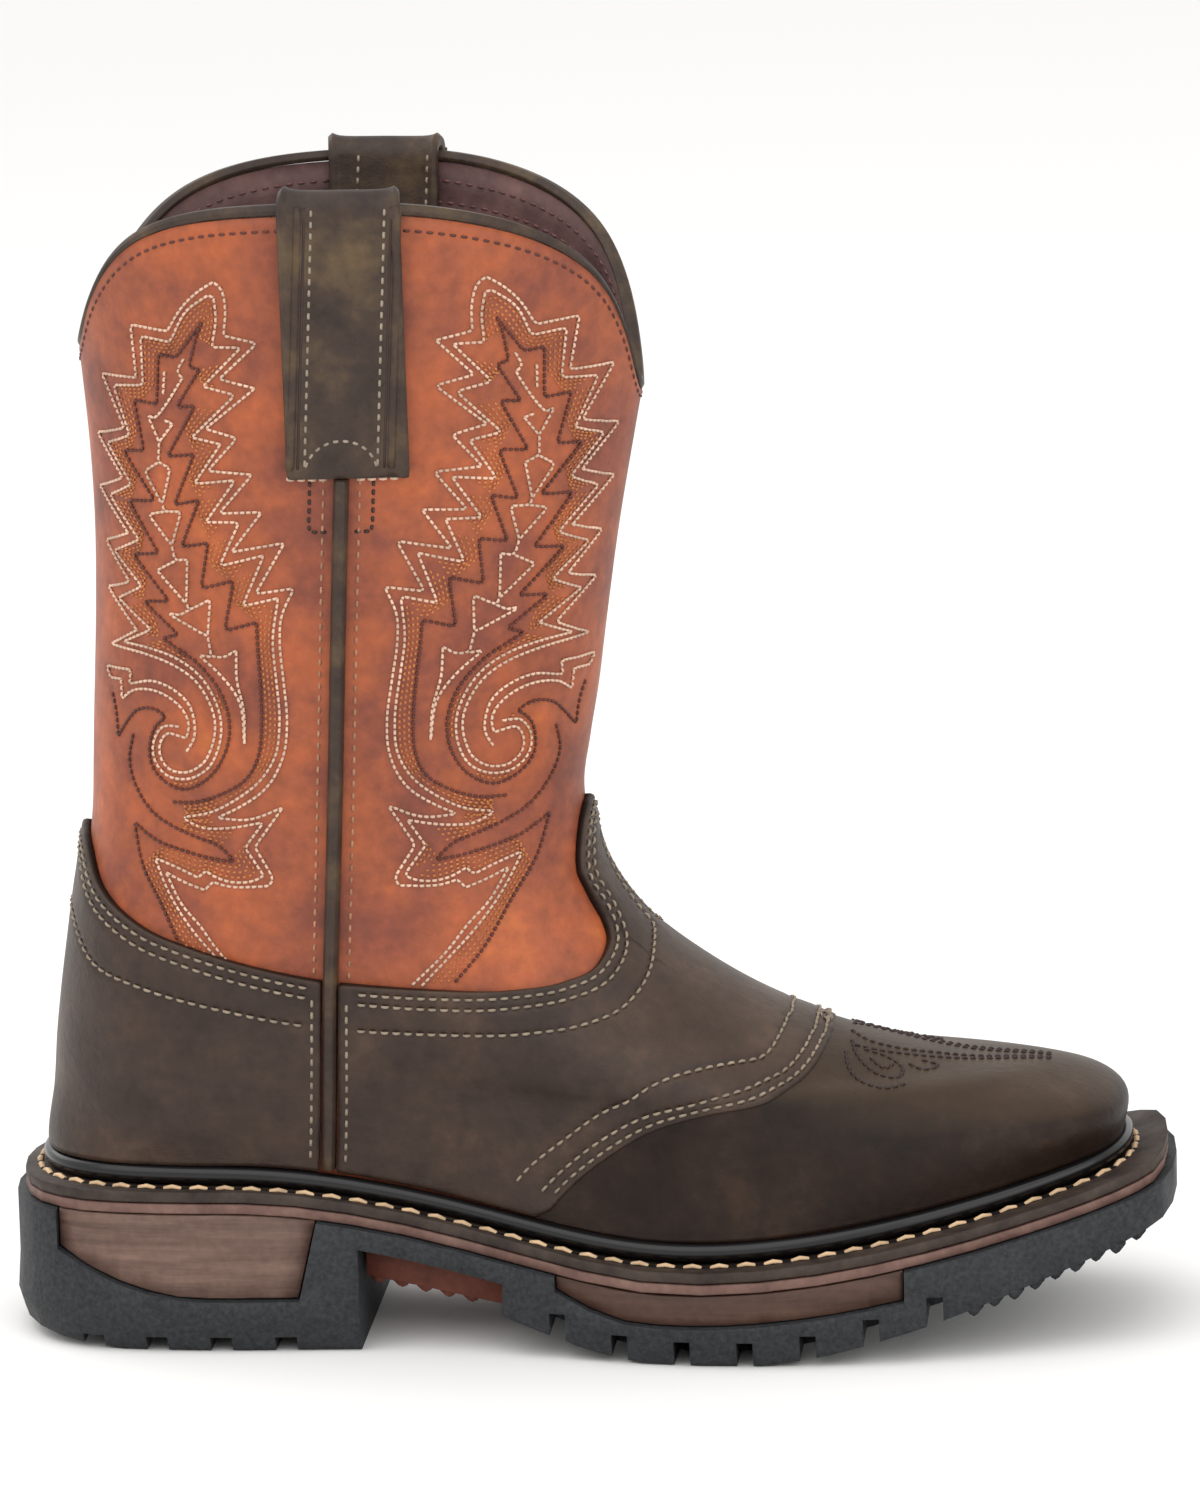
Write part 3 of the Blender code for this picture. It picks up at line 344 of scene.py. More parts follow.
def leather_material(name, shades, mottle, grain, roughness, bump, stretch=(1.0, 1.0, 1.0), worn=0.0):
    """Hide: patches of a few shades, a fine grain, and gloss that follows both.

    stretch draws the patches out along an axis; worn sets a painted highlight, a paler brown
    on the faces that look up, as if lit from above.
    """
    made, tree, shader = new_material(name, IOR=1.45, Specular_IOR_Level=0.36)
    place = add_node(tree, "ShaderNodeTexCoord").outputs["Object"]
    drawn = add_node(tree, "ShaderNodeMapping", {"Scale": stretch}, {"Vector": place})
    patches = add_node(
        tree, "ShaderNodeTexNoise", {"Scale": 1.0 / (mottle * MM), "Detail": 6.0, "Roughness": 0.66},
        {"Vector": drawn.outputs["Vector"]},
    )
    ramp = add_node(tree, "ShaderNodeValToRGB", links={"Fac": patches.outputs["Fac"]})
    for stop, (where, shade) in enumerate(shades):
        if stop < 2:
            point = ramp.color_ramp.elements[stop]
            point.position = where
        else:
            point = ramp.color_ramp.elements.new(where)
        point.color = linear(shade)
    pores = add_node(
        tree, "ShaderNodeTexVoronoi", {"Scale": 1.0 / (grain * MM), "Randomness": 1.0},
        {"Vector": place}, feature="DISTANCE_TO_EDGE",
    )
    fine = add_node(
        tree, "ShaderNodeTexNoise", {"Scale": 1.0 / (grain * 3.0 * MM), "Detail": 3.0}, {"Vector": place}
    )
    flecks = add_node(
        tree, "ShaderNodeMapRange", {"From Min": 0.3, "From Max": 0.7, "To Min": 0.86, "To Max": 1.10},
        {"Value": fine.outputs["Fac"]},
    )
    tinted = add_node(
        tree, "ShaderNodeVectorMath", links={0: ramp.outputs["Color"], 1: flecks.outputs["Result"]},
        operation="MULTIPLY",
    )
    facing = add_node(
        tree, "ShaderNodeSeparateXYZ", links={0: add_node(tree, "ShaderNodeNewGeometry").outputs["Normal"]}
    )
    # Painted highlight: faces whose normal points up are mixed towards a pale brown, by the share worn.
    top_highlight = add_node(
        tree, "ShaderNodeMapRange", {"From Min": 0.45, "From Max": 1.0, "To Min": 0.0, "To Max": worn},
        {"Value": facing.outputs["Z"]},
    )
    highlighted = add_node(
        tree, "ShaderNodeMix", {"B": linear("8a7259")},
        {"Factor": top_highlight.outputs["Result"], "A": tinted.outputs["Vector"]}, data_type="RGBA",
    )
    cut = add_node(tree, "ShaderNodeAttribute", attribute_name="cut_edge")
    edged = add_node(
        tree, "ShaderNodeMix", {"B": linear("1a110c")},
        {"Factor": cut.outputs["Fac"], "A": highlighted.outputs["Result"]}, data_type="RGBA",
    )
    tree.links.new(edged.outputs["Result"], shader.inputs["Base Color"])
    gloss = add_node(
        tree, "ShaderNodeMapRange", {"To Min": roughness + 0.10, "To Max": roughness - 0.10},
        {"Value": patches.outputs["Fac"]},
    )
    tree.links.new(gloss.outputs["Result"], shader.inputs["Roughness"])
    pulled = add_node(
        tree, "ShaderNodeTexNoise", {"Scale": 1.0 / (grain * 7.0 * MM), "Detail": 2.0, "Distortion": 1.6},
        {"Vector": drawn.outputs["Vector"]},
    )
    skin = add_node(
        tree, "ShaderNodeMath", links={0: pores.outputs["Distance"], 1: fine.outputs["Fac"]}, operation="ADD"
    )
    height = add_node(
        tree, "ShaderNodeMath", {1: 1.6}, {0: pulled.outputs["Fac"], 2: skin.outputs["Value"]},
        operation="MULTIPLY_ADD",
    )
    relief = add_node(
        tree, "ShaderNodeBump", {"Strength": bump, "Distance": 0.25 * MM}, {"Height": height.outputs["Value"]}
    )
    tree.links.new(relief.outputs["Normal"], shader.inputs["Normal"])
    return made, tree, shader


# Oiled pull-up cowhide: burnt orange that pales where it is stretched, in clouds of 24 mm with a
# low satin sheen. Its grain of 0.9 mm is coarser than the real one, so that it shows.
SHAFT_HIDE, _, _ = leather_material(
    "oiled_pull_up_cowhide",
    ((0.28, "64382c"), (0.74, "b0602f"), (0.42, "7f4230"), (0.52, "914c30"), (0.62, "a05230")),
    mottle=24.0, grain=0.9, roughness=0.5, bump=0.24,
)
HIDE_THICK = 1.2


# Shaft stitching: two pale rows of bonded polyester thread round each flame, a dark row inside
# it, a barbed stem and a scroll, sewn through the hide before the seams are closed. Those behind
# the seam mirror those ahead of it. Points are lengths ahead of the seam and heights.
SEAM_FOOT, SEAM_LEAN = 38.0, 0.064
MOTIF_PALE = {
    "outer_front": (
        (27.8, 227.9), (30.4, 226.3), (34.5, 222.4), (37.7, 217.1), (46.1, 217.8), (44.6, 206.7),
        (52.9, 206.4), (47.2, 195.7), (54.1, 193.3), (47.4, 185.1), (53.4, 182.0), (45.9, 173.6),
        (51.5, 170.9), (45.3, 163.3), (50.7, 161.2), (43.4, 153.4), (49.6, 149.3), (40.8, 148.5),
        (34.8, 146.8), (30.4, 144.2), (26.9, 139.4), (25.6, 135.3), (26.1, 130.3), (28.1, 126.1),
        (31.9, 123.9), (35.3, 124.2), (37.5, 126.5), (37.6, 130.2), (36.1, 132.3), (33.6, 132.2),
        (31.9, 131.4),
    ),
    "inner_front": (
        (28.9, 225.1), (33.5, 221.7), (37.0, 214.9), (43.7, 215.6), (43.0, 205.3), (50.0, 204.4),
        (45.9, 194.3), (51.4, 191.8), (45.3, 184.0), (50.6, 180.8), (43.3, 172.6), (49.2, 169.3),
        (42.4, 162.8), (48.0, 159.5), (40.1, 153.9), (46.6, 150.4), (40.2, 149.9), (34.2, 148.3),
        (29.3, 145.2), (25.7, 140.0), (24.3, 135.3), (24.7, 130.0), (27.1, 125.0), (31.6, 122.5),
        (36.0, 122.9), (38.9, 126.0), (39.0, 130.6), (36.9, 133.6), (33.4, 133.7),
    ),
    "outer_back": (
        (27.8, 227.9), (26.6, 227.3), (25.2, 223.3), (25.4, 216.9), (18.2, 215.5), (26.1, 207.8),
        (18.4, 206.1), (28.9, 197.3), (22.0, 195.6), (28.2, 188.5), (18.6, 188.1), (25.5, 179.7),
        (16.4, 180.3), (22.7, 171.7), (11.5, 173.9), (17.4, 163.0), (9.3, 164.3), (11.9, 158.1),
        (12.1, 152.5), (11.2, 144.6), (10.3, 135.3), (10.9, 128.6), (14.5, 121.3), (20.0, 117.1),
        (25.0, 114.5), (18.0, 114.4), (10.9, 117.2), (16.7, 108.5), (12.6, 101.7), (13.6, 100.0),
        (23.4, 100.0), (25.6, 100.7), (27.2, 98.8), (32.5, 100.7), (35.8, 102.3), (31.7, 95.1),
        (28.2, 91.4), (24.5, 86.4), (16.9, 78.6),
    ),
    "inner_back": (
        (28.9, 225.1), (27.7, 224.8), (27.1, 220.4), (27.9, 214.4), (21.6, 214.5), (29.6, 206.1),
        (22.6, 204.6), (31.8, 195.3), (25.5, 194.2), (31.1, 185.6), (22.2, 186.8), (28.4, 177.7),
        (21.2, 178.0), (25.2, 168.6), (15.8, 171.2), (20.1, 160.3), (12.6, 162.2), (13.6, 152.8),
        (12.9, 146.1), (11.9, 135.2), (12.6, 128.5), (15.7, 123.0), (20.8, 118.7), (25.9, 115.8),
        (32.5, 114.2), (28.5, 112.3), (22.6, 112.4), (14.9, 113.9), (18.8, 108.3), (14.6, 102.2),
        (16.1, 101.4), (25.4, 101.9), (27.2, 103.1), (28.6, 101.4), (33.5, 103.5), (38.3, 105.1),
        (34.7, 97.5), (29.2, 89.7), (24.0, 84.0), (18.9, 78.4),
    ),
    "scroll": (
        (31.9, 128.3), (30.1, 131.5), (30.1, 135.0), (31.4, 138.8), (34.8, 141.6), (39.4, 143.0),
        (45.0, 141.6), (44.6, 144.7), (50.7, 144.3), (49.8, 142.0), (47.0, 142.3), (46.7, 137.9),
        (44.7, 140.1), (40.1, 141.1), (35.5, 139.7), (32.6, 137.3), (31.2, 134.0), (31.9, 131.4),
    ),
    "barb_a": (
        (33.9, 211.7), (35.5, 208.8), (34.1, 207.6), (39.1, 199.8), (40.2, 198.5), (41.9, 199.3),
        (39.1, 193.7), (36.0, 197.9), (38.1, 198.4),
    ),
    "barb_b": ((38.2, 208.8), (38.4, 203.7)),
    "barb_c": ((39.1, 193.7), (39.2, 189.4), (36.5, 188.5), (38.1, 180.6), (42.3, 187.2), (39.2, 189.4)),
    "barb_d": ((38.1, 180.6), (37.6, 179.2), (33.9, 179.5), (35.8, 172.2), (41.2, 178.2), (37.6, 179.2)),
    "barb_e": (
        (35.8, 172.2), (35.0, 169.0), (32.3, 169.7), (32.3, 160.2), (39.0, 166.6), (36.8, 167.5),
        (35.0, 169.0),
    ),
    "barb_f": (
        (32.3, 160.2), (31.6, 158.9), (27.1, 161.4), (27.5, 153.5), (36.4, 157.8), (32.8, 157.9),
        (31.6, 158.9),
    ),
    "barb_g": (
        (27.5, 153.5), (26.2, 151.8), (26.6, 149.2), (23.5, 149.3), (21.3, 151.0), (21.0, 143.9),
        (19.6, 138.6), (19.2, 130.4), (20.6, 140.2), (25.2, 146.0), (29.4, 149.4), (26.6, 149.2),
    ),
}
MOTIF_DARK = {
    "dark_front": (
        (30.1, 219.5), (35.7, 211.7), (39.7, 212.1), (39.9, 201.6), (45.2, 201.9), (42.7, 191.5),
        (47.5, 190.9), (39.9, 181.2), (46.0, 180.5), (38.9, 170.2), (44.7, 169.3), (36.2, 160.3),
        (42.0, 159.7), (34.0, 153.4), (37.6, 152.3), (29.4, 147.3), (23.8, 140.0), (22.5, 132.9),
        (24.2, 126.7), (27.3, 122.6), (32.4, 120.1), (36.7, 121.6), (39.7, 124.9), (40.1, 129.5),
        (38.6, 133.7), (36.4, 135.5), (39.5, 137.1), (43.0, 136.4), (45.8, 133.0), (47.7, 129.7),
        (48.2, 134.9), (49.3, 139.0),
    ),
    "dark_back": (
        (30.1, 219.5), (30.4, 218.9), (32.9, 209.9), (30.4, 209.7), (35.5, 201.3), (31.4, 201.9),
        (37.2, 190.9), (31.4, 191.7), (35.5, 180.8), (30.1, 182.2), (33.7, 172.1), (27.9, 173.3),
        (29.2, 163.6), (22.2, 165.6), (23.9, 154.9), (17.1, 156.9), (16.9, 152.7), (16.3, 146.0),
        (15.7, 134.8), (16.2, 128.5), (18.5, 123.3), (23.2, 120.0), (29.9, 117.6), (34.9, 117.3),
    ),
    "dark_leaf": (
        (44.0, 131.0), (44.9, 125.3), (42.7, 118.8), (39.1, 114.6), (33.9, 111.8), (28.0, 109.7),
        (24.6, 108.5), (20.9, 105.0), (27.2, 105.9), (32.7, 107.2), (38.3, 108.9), (43.4, 112.1),
        (41.0, 103.1), (36.9, 96.0), (31.4, 85.9), (25.9, 79.2),
    ),
}
FILLED = (("inner_front", "dark_front"), ("inner_back", "dark_back"), ("inner_back", "dark_leaf"))


CORNER_COSINE = 0.55


def between_corners(points, pitch):
    """Points along a charted row: straight into sharp corners, curved between the others."""
    points = np.array(points, float)
    steps = np.diff(points, axis=0)
    lengths = np.linalg.norm(steps, axis=1)
    heading = steps / lengths[:, None]
    sharp = [0]
    for i in range(1, len(points) - 1):
        if heading[i - 1] @ heading[i] < CORNER_COSINE:
            sharp.append(i)
    sharp.append(len(points) - 1)
    knots = np.concatenate([[0.0], np.cumsum(lengths)])
    found = []
    for first, last in zip(sharp[:-1], sharp[1:]):
        at = np.linspace(knots[first], knots[last], max(2, int((knots[last] - knots[first]) / pitch)))
        run = slice(first, last + 1)
        found.append(through(knots[run], points[run][:, :, None], at)[:, :, 0])
    return np.concatenate(found)


CHART_PITCH = 1.6


def sewn_row(points, side, mirrored):
    """A charted row as places on the skin: angles and lengths up."""
    flow = -1.0 if mirrored else 1.0
    row = []
    for ahead, z in between_corners(points, CHART_PITCH):
        row.append(locate(SEAM_FOOT + SEAM_LEAN * z + flow * ahead, z, side))
    return np.array(row)


def resample(row, out, pitch):
    """Even steps along a row: angles, lengths up, and points this far outside the skin."""
    points = on_skin(row[:, 0], row[:, 1], np.full(len(row), out))
    run = np.concatenate([[0.0], np.cumsum(np.linalg.norm(np.diff(points, axis=0), axis=1))])
    keep = np.concatenate([[True], np.diff(run) > 1e-4])
    run, row = run[keep], row[keep]
    at = np.linspace(0.0, run[-1], max(2, int(round(run[-1] / pitch)) + 1))
    turns, climb = np.interp(at, run, row[:, 0]), np.interp(at, run, row[:, 1])
    return turns, climb, on_skin(turns, climb, np.full(len(at), out))


# Filling: fine amber rows between a pale and a dark row, three where they lie well apart and
# one where they close up.
FILL_SHARES = (0.25, 0.5, 0.75)
FILL_LEAST, FILL_THREE, FILL_MOST = 1.8, 2.6, 6.5


def filling(pale, dark):
    """Rows between two rows of the chart, wherever the gap suits them."""
    dark_turns, dark_climb, dark_places = resample(dark, 0.0, 0.5)
    tree = nearest(dark_places)
    turns, climb, places = resample(pale, 0.0, 0.9)
    found = []
    for share in FILL_SHARES:
        line = []
        for i, place in enumerate(places):
            _, k, gap = tree.find(place)
            if FILL_LEAST < gap < FILL_MOST and (share == 0.5 or gap > FILL_THREE):
                line.append((
                    turns[i] + (dark_turns[k] - turns[i]) * share,
                    climb[i] + (dark_climb[k] - climb[i]) * share,
                ))
                continue
            found.append(line)
            line = []
        found.append(line)
    return [np.array(line) for line in found if len(line) > 3]


PRESSED_PITCH = 0.8
pale_rows, dark_rows, fill_rows, pressed = [], [], [], []
for side in SIDES:
    for mirrored in (False, True):
        pales = {key: sewn_row(points, side, mirrored) for key, points in MOTIF_PALE.items()}
        darks = {key: sewn_row(points, side, mirrored) for key, points in MOTIF_DARK.items()}
        pale_rows += pales.values()
        dark_rows += darks.values()
        pressed += [resample(row, 0.0, PRESSED_PITCH)[2] for row in (*pales.values(), *darks.values())]
        for pale, dark in FILLED:
            fill_rows += filling(pales[pale], darks[dark])
pressed_tree = nearest(np.concatenate(pressed))


def pressed_in(tree, points, depth, reach):
    """How far thread under tension draws the leather in, next to its rows."""
    flat = points.reshape(-1, 3)
    near = np.array([tree.find(place)[2] for place in flat])
    return (depth * np.exp(-((near / reach) ** 2))).reshape(points.shape[:-1])


SOILED_PATCH = 6.25


def thread_material(name, shade):
    """Bonded polyester thread: a low sheen, and darker where it has taken up wax and dust."""
    made, tree, shader = new_material(name, Roughness=0.55)
    place = add_node(tree, "ShaderNodeTexCoord").outputs["Object"]
    soil = add_node(
        tree, "ShaderNodeTexNoise", {"Scale": 1.0 / (SOILED_PATCH * MM), "Detail": 3.0}, {"Vector": place}
    )
    worn = add_node(
        tree, "ShaderNodeMapRange", {"From Min": 0.3, "From Max": 0.7, "To Min": 0.62, "To Max": 1.05},
        {"Value": soil.outputs["Fac"]},
    )
    base = add_node(
        tree, "ShaderNodeVectorMath", {0: linear(shade)[:3]}, {1: worn.outputs["Result"]},
        operation="MULTIPLY",
    )
    tree.links.new(base.outputs["Vector"], shader.inputs["Base Color"])
    return made


def skin_run(row, out, pitch, inside=False):
    """Even steps and outward directions along a row, this far outside the skin."""
    turns, climb, places = resample(row, out, pitch)
    normals = outward(turns, climb)
    return places, -normals if inside else normals


def ring_below(gap):
    """A row right round the boot, this far below the rim."""
    return np.array([(angle, RIM - gap) for angle in np.arange(0.0, 361.0, 3.0)])


def surface(piece):
    """A piece's faces, ready for rays, in metres."""
    mesh = piece.data
    return BVHTree.FromPolygons([v.co for v in mesh.vertices], [p.vertices for p in mesh.polygons])


def cast_run(faces, starts, direction, pitch):
    """Even steps along the line where rays from these starts first meet a piece."""
    places, normals = [], []
    for start in starts:
        place, normal, _, _ = faces.ray_cast(Vector(start) * MM, Vector(direction))
        if place is not None:
            places.append(np.array(place) / MM)
            normals.append(np.array(normal))
    places, normals = np.array(places), np.array(normals)
    run = np.concatenate([[0.0], np.cumsum(np.linalg.norm(np.diff(places, axis=0), axis=1))])
    at = np.linspace(0.0, run[-1], max(2, int(round(run[-1] / pitch)) + 1))
    return [np.stack([np.interp(at, run, grid[:, i]) for i in range(3)], 1) for grid in (places, normals)]


STITCH_RINGS = (
    # share of the stitch, width, lift
    (0.0, 0.3, -0.9), (0.14, 0.85, 0.1), (0.5, 1.0, 0.42), (0.86, 0.85, 0.1), (1.0, 0.3, -0.9),
)
STITCH_SIDES = 5
STITCH_ROUND = [
    (math.cos(2 * math.pi * k / STITCH_SIDES) * 0.62, math.sin(2 * math.pi * k / STITCH_SIDES) * 0.5)
    for k in range(STITCH_SIDES)
]


def tube_faces(first, rings, sides):
    """Faces of a closed tube whose rings of points start at first."""
    faces = []
    for a in range(first, first + (rings - 1) * sides, sides):
        for k in range(sides):
            m = (k + 1) % sides
            faces.append((a + k, a + m, a + sides + m, a + sides + k))
    last = first + (rings - 1) * sides
    return faces + [tuple(range(first + sides - 1, first - 1, -1)), tuple(range(last, last + sides))]


SHORTEST_STITCH = 0.3


def sew(name, runs, material, slot, length, thick, sink):
    """Stitches along runs: short threads, thickest in the middle, that dive into their holes.

    length is a stitch's share of its step; thick and sink are millimetres.
    """
    points, faces = [], []
    for places, normals in runs:
        for start, stop, normal in zip(places[:-1], places[1:], normals):
            run = stop - start
            size = np.linalg.norm(run)
            if size < SHORTEST_STITCH:
                continue
            side = np.cross(run / size, normal)
            faces += tube_faces(len(points), len(STITCH_RINGS), STITCH_SIDES)
            for along, wide, lift in STITCH_RINGS:
                share = (1.0 - length) / 2 + along * length
                middle = start + run * share + normal * (thick * lift - sink)
                for across, above in STITCH_ROUND:
                    points.append(middle + thick * wide * (side * across + normal * above))
    return add_piece(name, points, faces, material, slot)


CORD_SIDES = 8


def cord(name, runs, material, slot, thick, sink):
    """Smooth round cords along runs, let into the leather by sink."""
    points, faces = [], []
    for places, normals in runs:
        faces += tube_faces(len(points), len(places), CORD_SIDES)
        heading = np.gradient(places, axis=0)
        for place, normal, run in zip(places, normals, heading):
            side = np.cross(run / np.linalg.norm(run), normal)
            for k in range(CORD_SIDES):
                turned = 2 * math.pi * k / CORD_SIDES
                spoke = side * math.cos(turned) + normal * math.sin(turned)
                points.append(place - normal * sink + thick / 2 * spoke)
    return add_piece(name, points, faces, material, slot)


SHAFT_COLUMNS, SHAFT_ROWS = 320, 130
angles = np.arange(SHAFT_COLUMNS) * 360.0 / SHAFT_COLUMNS
turn, climb = np.meshgrid(angles, np.linspace(0.0, RIM, SHAFT_ROWS))
outer = on_skin(turn, climb, -pressed_in(pressed_tree, on_skin(turn, climb, 0.0), depth=0.32, reach=0.9))
inner = on_skin(turn, climb, -HIDE_THICK)
add_piece("shaft_leather", *leather_shell(outer, inner, closed=True), SHAFT_HIDE, "rust_leather", "upper")

# Threads of the shaft: cream-pink, chestnut and amber, so the flames read pale with a dark heart.
PALE_THREAD = thread_material("cream_pink_thread", "dab8a0")
DARK_THREAD = thread_material("chestnut_thread", "56251a")
FILL_THREAD = thread_material("amber_thread", "b8703c")
pale, dark, fill = (
    [skin_run(row, 0.0, pitch) for row in rows]
    for rows, pitch in ((pale_rows, 1.35), (dark_rows, 1.35), (fill_rows, 1.3))
)
sew("motif_pale_rows", pale, PALE_THREAD, "rust_leather", length=0.9, thick=0.54, sink=0.1)
sew("motif_dark_rows", dark, DARK_THREAD, "rust_leather", length=0.92, thick=0.55, sink=0.12)
sew("motif_filling", fill, FILL_THREAD, "rust_leather", length=0.62, thick=0.46, sink=0.06)

# Lining: a soft purple-brown leather glued inside the shaft, 1.2 mm behind its face, with two
# maroon rows sewn round the rim. It is thin, smooth and glazed, so it shows broad, dull clouds.
LINING_HIDE, _, _ = leather_material(
    "glazed_lining_leather",
    ((0.35, "40292a"), (0.68, "6a4c47")),
    mottle=18.0, grain=1.1, roughness=0.55, bump=0.2,
)
LINING_COLUMNS, LINING_ROWS, LINING_FACE, GLUE = 160, 44, -2.4, 0.05
angles = np.arange(LINING_COLUMNS) * 360.0 / LINING_COLUMNS
turn, climb = np.meshgrid(angles, np.linspace(0.0, RIM, LINING_ROWS))
outer, inner = on_skin(turn, climb, -HIDE_THICK - GLUE), on_skin(turn, climb, LINING_FACE)
add_piece("shaft_lining", *leather_shell(outer, inner, closed=True), LINING_HIDE, "rust_leather")
MAROON_THREAD = thread_material("dull_maroon_thread", "6b443f")
lining_runs = [skin_run(ring_below(gap), LINING_FACE, 2.6, inside=True) for gap in (3.4, 7.4)]
sew("lining_rows", lining_runs, MAROON_THREAD, "rust_leather", length=0.75, thick=0.55, sink=0.1)

# Counter, saddle and toe vamp: waxed chocolate cowhide, 1.9 mm thick at its cut edges, laid over
# the lasted upper and sewn through. Each follows its own edge lines, drawn in side view, and
# the counter and the saddle meet the piping of the side seams.
COUNTER_EDGE = (
    # along, up
    (-12.0, 109.6), (-9.0, 104.7), (-6.1, 98.2), (2.9, 90.9), (14.6, 86.3), (25.5, 83.0), (38.9, 80.1),
    (51.1, 78.7),
)
SADDLE_EDGE = (
    # along, up
    (36.5, 79.9), (44.5, 79.3), (63.2, 78.0), (80.3, 77.2), (91.0, 78.0), (97.5, 80.3), (99.5, 84.2),
    (98.0, 89.0), (93.6, 97.0), (93.4, 107.6), (95.3, 116.5),
)
VAMP_EDGE = (
    # along, up
    (147.6, 71.8), (146.4, 64.8), (145.4, 61.2), (141.8, 56.3), (135.2, 52.9), (120.6, 50.5), (109.9, 47.4),
    (99.7, 41.1), (90.5, 32.8), (83.9, 23.8), (77.8, 7.6),
)
SEAM_HALF = 1.9


def smooth_line(points, pitch):
    """A smooth curve through side-view points, with a point every few tenths of a millimetre."""
    points = np.array(points, float)
    knots = np.concatenate([[0.0], np.cumsum(np.linalg.norm(np.diff(points, axis=0), axis=1))])
    at = np.linspace(0.0, knots[-1], max(2, int(knots[-1] / pitch)))
    return through(knots, points[:, :, None], at)[:, :, 0]


def skin_line(points, side):
    """Angles and lengths up the skin of a side-view line."""
    return np.array([locate(x, z, side) for x, z in points])


def seam_angle(up, side, shift):
    """Angle of the side seam, moved forwards or back, at a length up the skin."""
    turns = np.linspace(25.0, 130.0, 211)  # a span of angles that always holds the seam
    turns = turns if side < 0 else 360.0 - turns
    points = read_grid(SKIN, turns, up)
    beyond = points[:, 0] - SEAM_FOOT - SEAM_LEAN * points[:, 2] - shift
    return float(np.interp(0.0, beyond, turns))


def edge_heights(line, turns, middle):
    """Lengths up the skin of an edge line on both sides, read at angles round the boot.

    middle is the angle, 0 or 180, where the line crosses the back or front, and the length there.
    """
    centre, ends = middle
    halves = []
    for side in SIDES:
        half = skin_line(smooth_line(line, 1.0), side)
        half = half[half[:, 1] > BEAD_TOP + 1.0]
        halves.append(half[np.argsort(half[:, 0])])
    near, far = halves
    if centre < 90.0:
        knots = np.concatenate([far[:, 0] - 360.0, [0.0], near[:, 0]])
        values = np.concatenate([far[:, 1], [ends], near[:, 1]])
        turns = np.where(turns > 180.0, turns - 360.0, turns)
    else:
        knots = np.concatenate([near[:, 0], [180.0], far[:, 0]])
        values = np.concatenate([near[:, 1], [ends], far[:, 1]])
    keep = np.concatenate([[True], np.diff(knots) > 1e-3])
    return np.interp(turns, knots[keep], values[keep])


def middle_height(z, angle):
    """Length up the skin at the front or back where it reaches a height."""
    points = read_grid(SKIN, angle, ups)
    return float(np.interp(z, points[:, 2], ups))


EDGE_STEPS = np.array([0.0, 0.3, 0.7, 1.3, 2.2])
EDGE_ROUND, SHORT_COLUMN, GLUE_GAP, UNDERSIDE = 1.3, 6.0, 0.3, 0.12


def panel(turns, low, high, leather, row_count, edges):
    """A leather panel: columns at angles, each between two lengths up the skin.

    turns is one angle a column, or a function of the grid of lengths that gives every angle.
    edges says whether the low and the high end show as cut edges.
    """
    columns = len(low)
    bottom, top = edges
    first = EDGE_STEPS if bottom else EDGE_STEPS[:1]
    last = EDGE_STEPS[::-1] if top else EDGE_STEPS[:1]
    rows = []
    for j in range(columns):
        squeeze = min(1.0, max(high[j] - low[j], 0.02) / SHORT_COLUMN)
        start, stop = low[j] + first[-1] * squeeze, high[j] - last[0] * squeeze
        middle = np.linspace(start, stop, row_count)[1:-1]
        rows.append(np.concatenate([low[j] + first * squeeze, middle, high[j] - last * squeeze]))
    climb = np.array(rows).T
    turn = np.broadcast_to(np.asarray(turns), climb.shape) if np.ndim(turns) == 1 else turns(climb)
    from_edge = np.full(climb.shape, 9.0)
    if bottom:
        from_edge = np.minimum(from_edge, climb - climb[0])
    if top:
        from_edge = np.minimum(from_edge, climb[-1] - climb)
    round_over = np.sqrt(1.0 - (1.0 - np.clip(from_edge / EDGE_ROUND, 0.0, 1.0)) ** 2)
    out = GLUE_GAP + leather * (0.5 + 0.5 * round_over)
    return turn, climb, out


CUT_FROM, CUT_BLEND, FACE_PLAY = 0.35, 0.4, 0.4


def add_panel(name, turn, climb, out, material, slot, *replaced):
    """A panel as a closed piece: pressed in at its seams, its cut edges marked for the dye."""
    outer = on_skin(turn, climb, out)
    outer = on_skin(turn, climb, out - pressed_in(sewn_tree, outer, depth=0.4, reach=0.85))
    inner = on_skin(turn, climb, np.full(climb.shape, UNDERSIDE))
    piece = add_piece(name, *leather_shell(outer, inner, closed=False), material, slot, *replaced)
    # The raw cut edge is nearly black, where the leather is rounded below its full height.
    tree = nearest(outer.reshape(-1, 3) * MM)
    cut = np.clip((out.max() - out.ravel() - CUT_FROM) / CUT_BLEND, 0.0, 1.0)
    shade = piece.data.attributes.new("cut_edge", "FLOAT", "POINT")
    for i, vert in enumerate(piece.data.vertices):
        _, k, gap = tree.find(vert.co)
        shade.data[i].value = cut[k] if gap < FACE_PLAY * MM else 1.0 * (cut[k] > 0.5)
    return piece


# Panel rows: waxed tan thread. Two rows run inside the counter's and the saddle's top edges and
# a third lower down, and two inside the saddle's front edge with one behind them. They press
# the leather in, so they are laid out before it is made.
PANEL_LEATHER = 1.9
PANEL_FACE = GLUE_GAP + PANEL_LEATHER
ROW_INSETS = (1.7, 4.0)
FOOT_CLEAR = 5.0


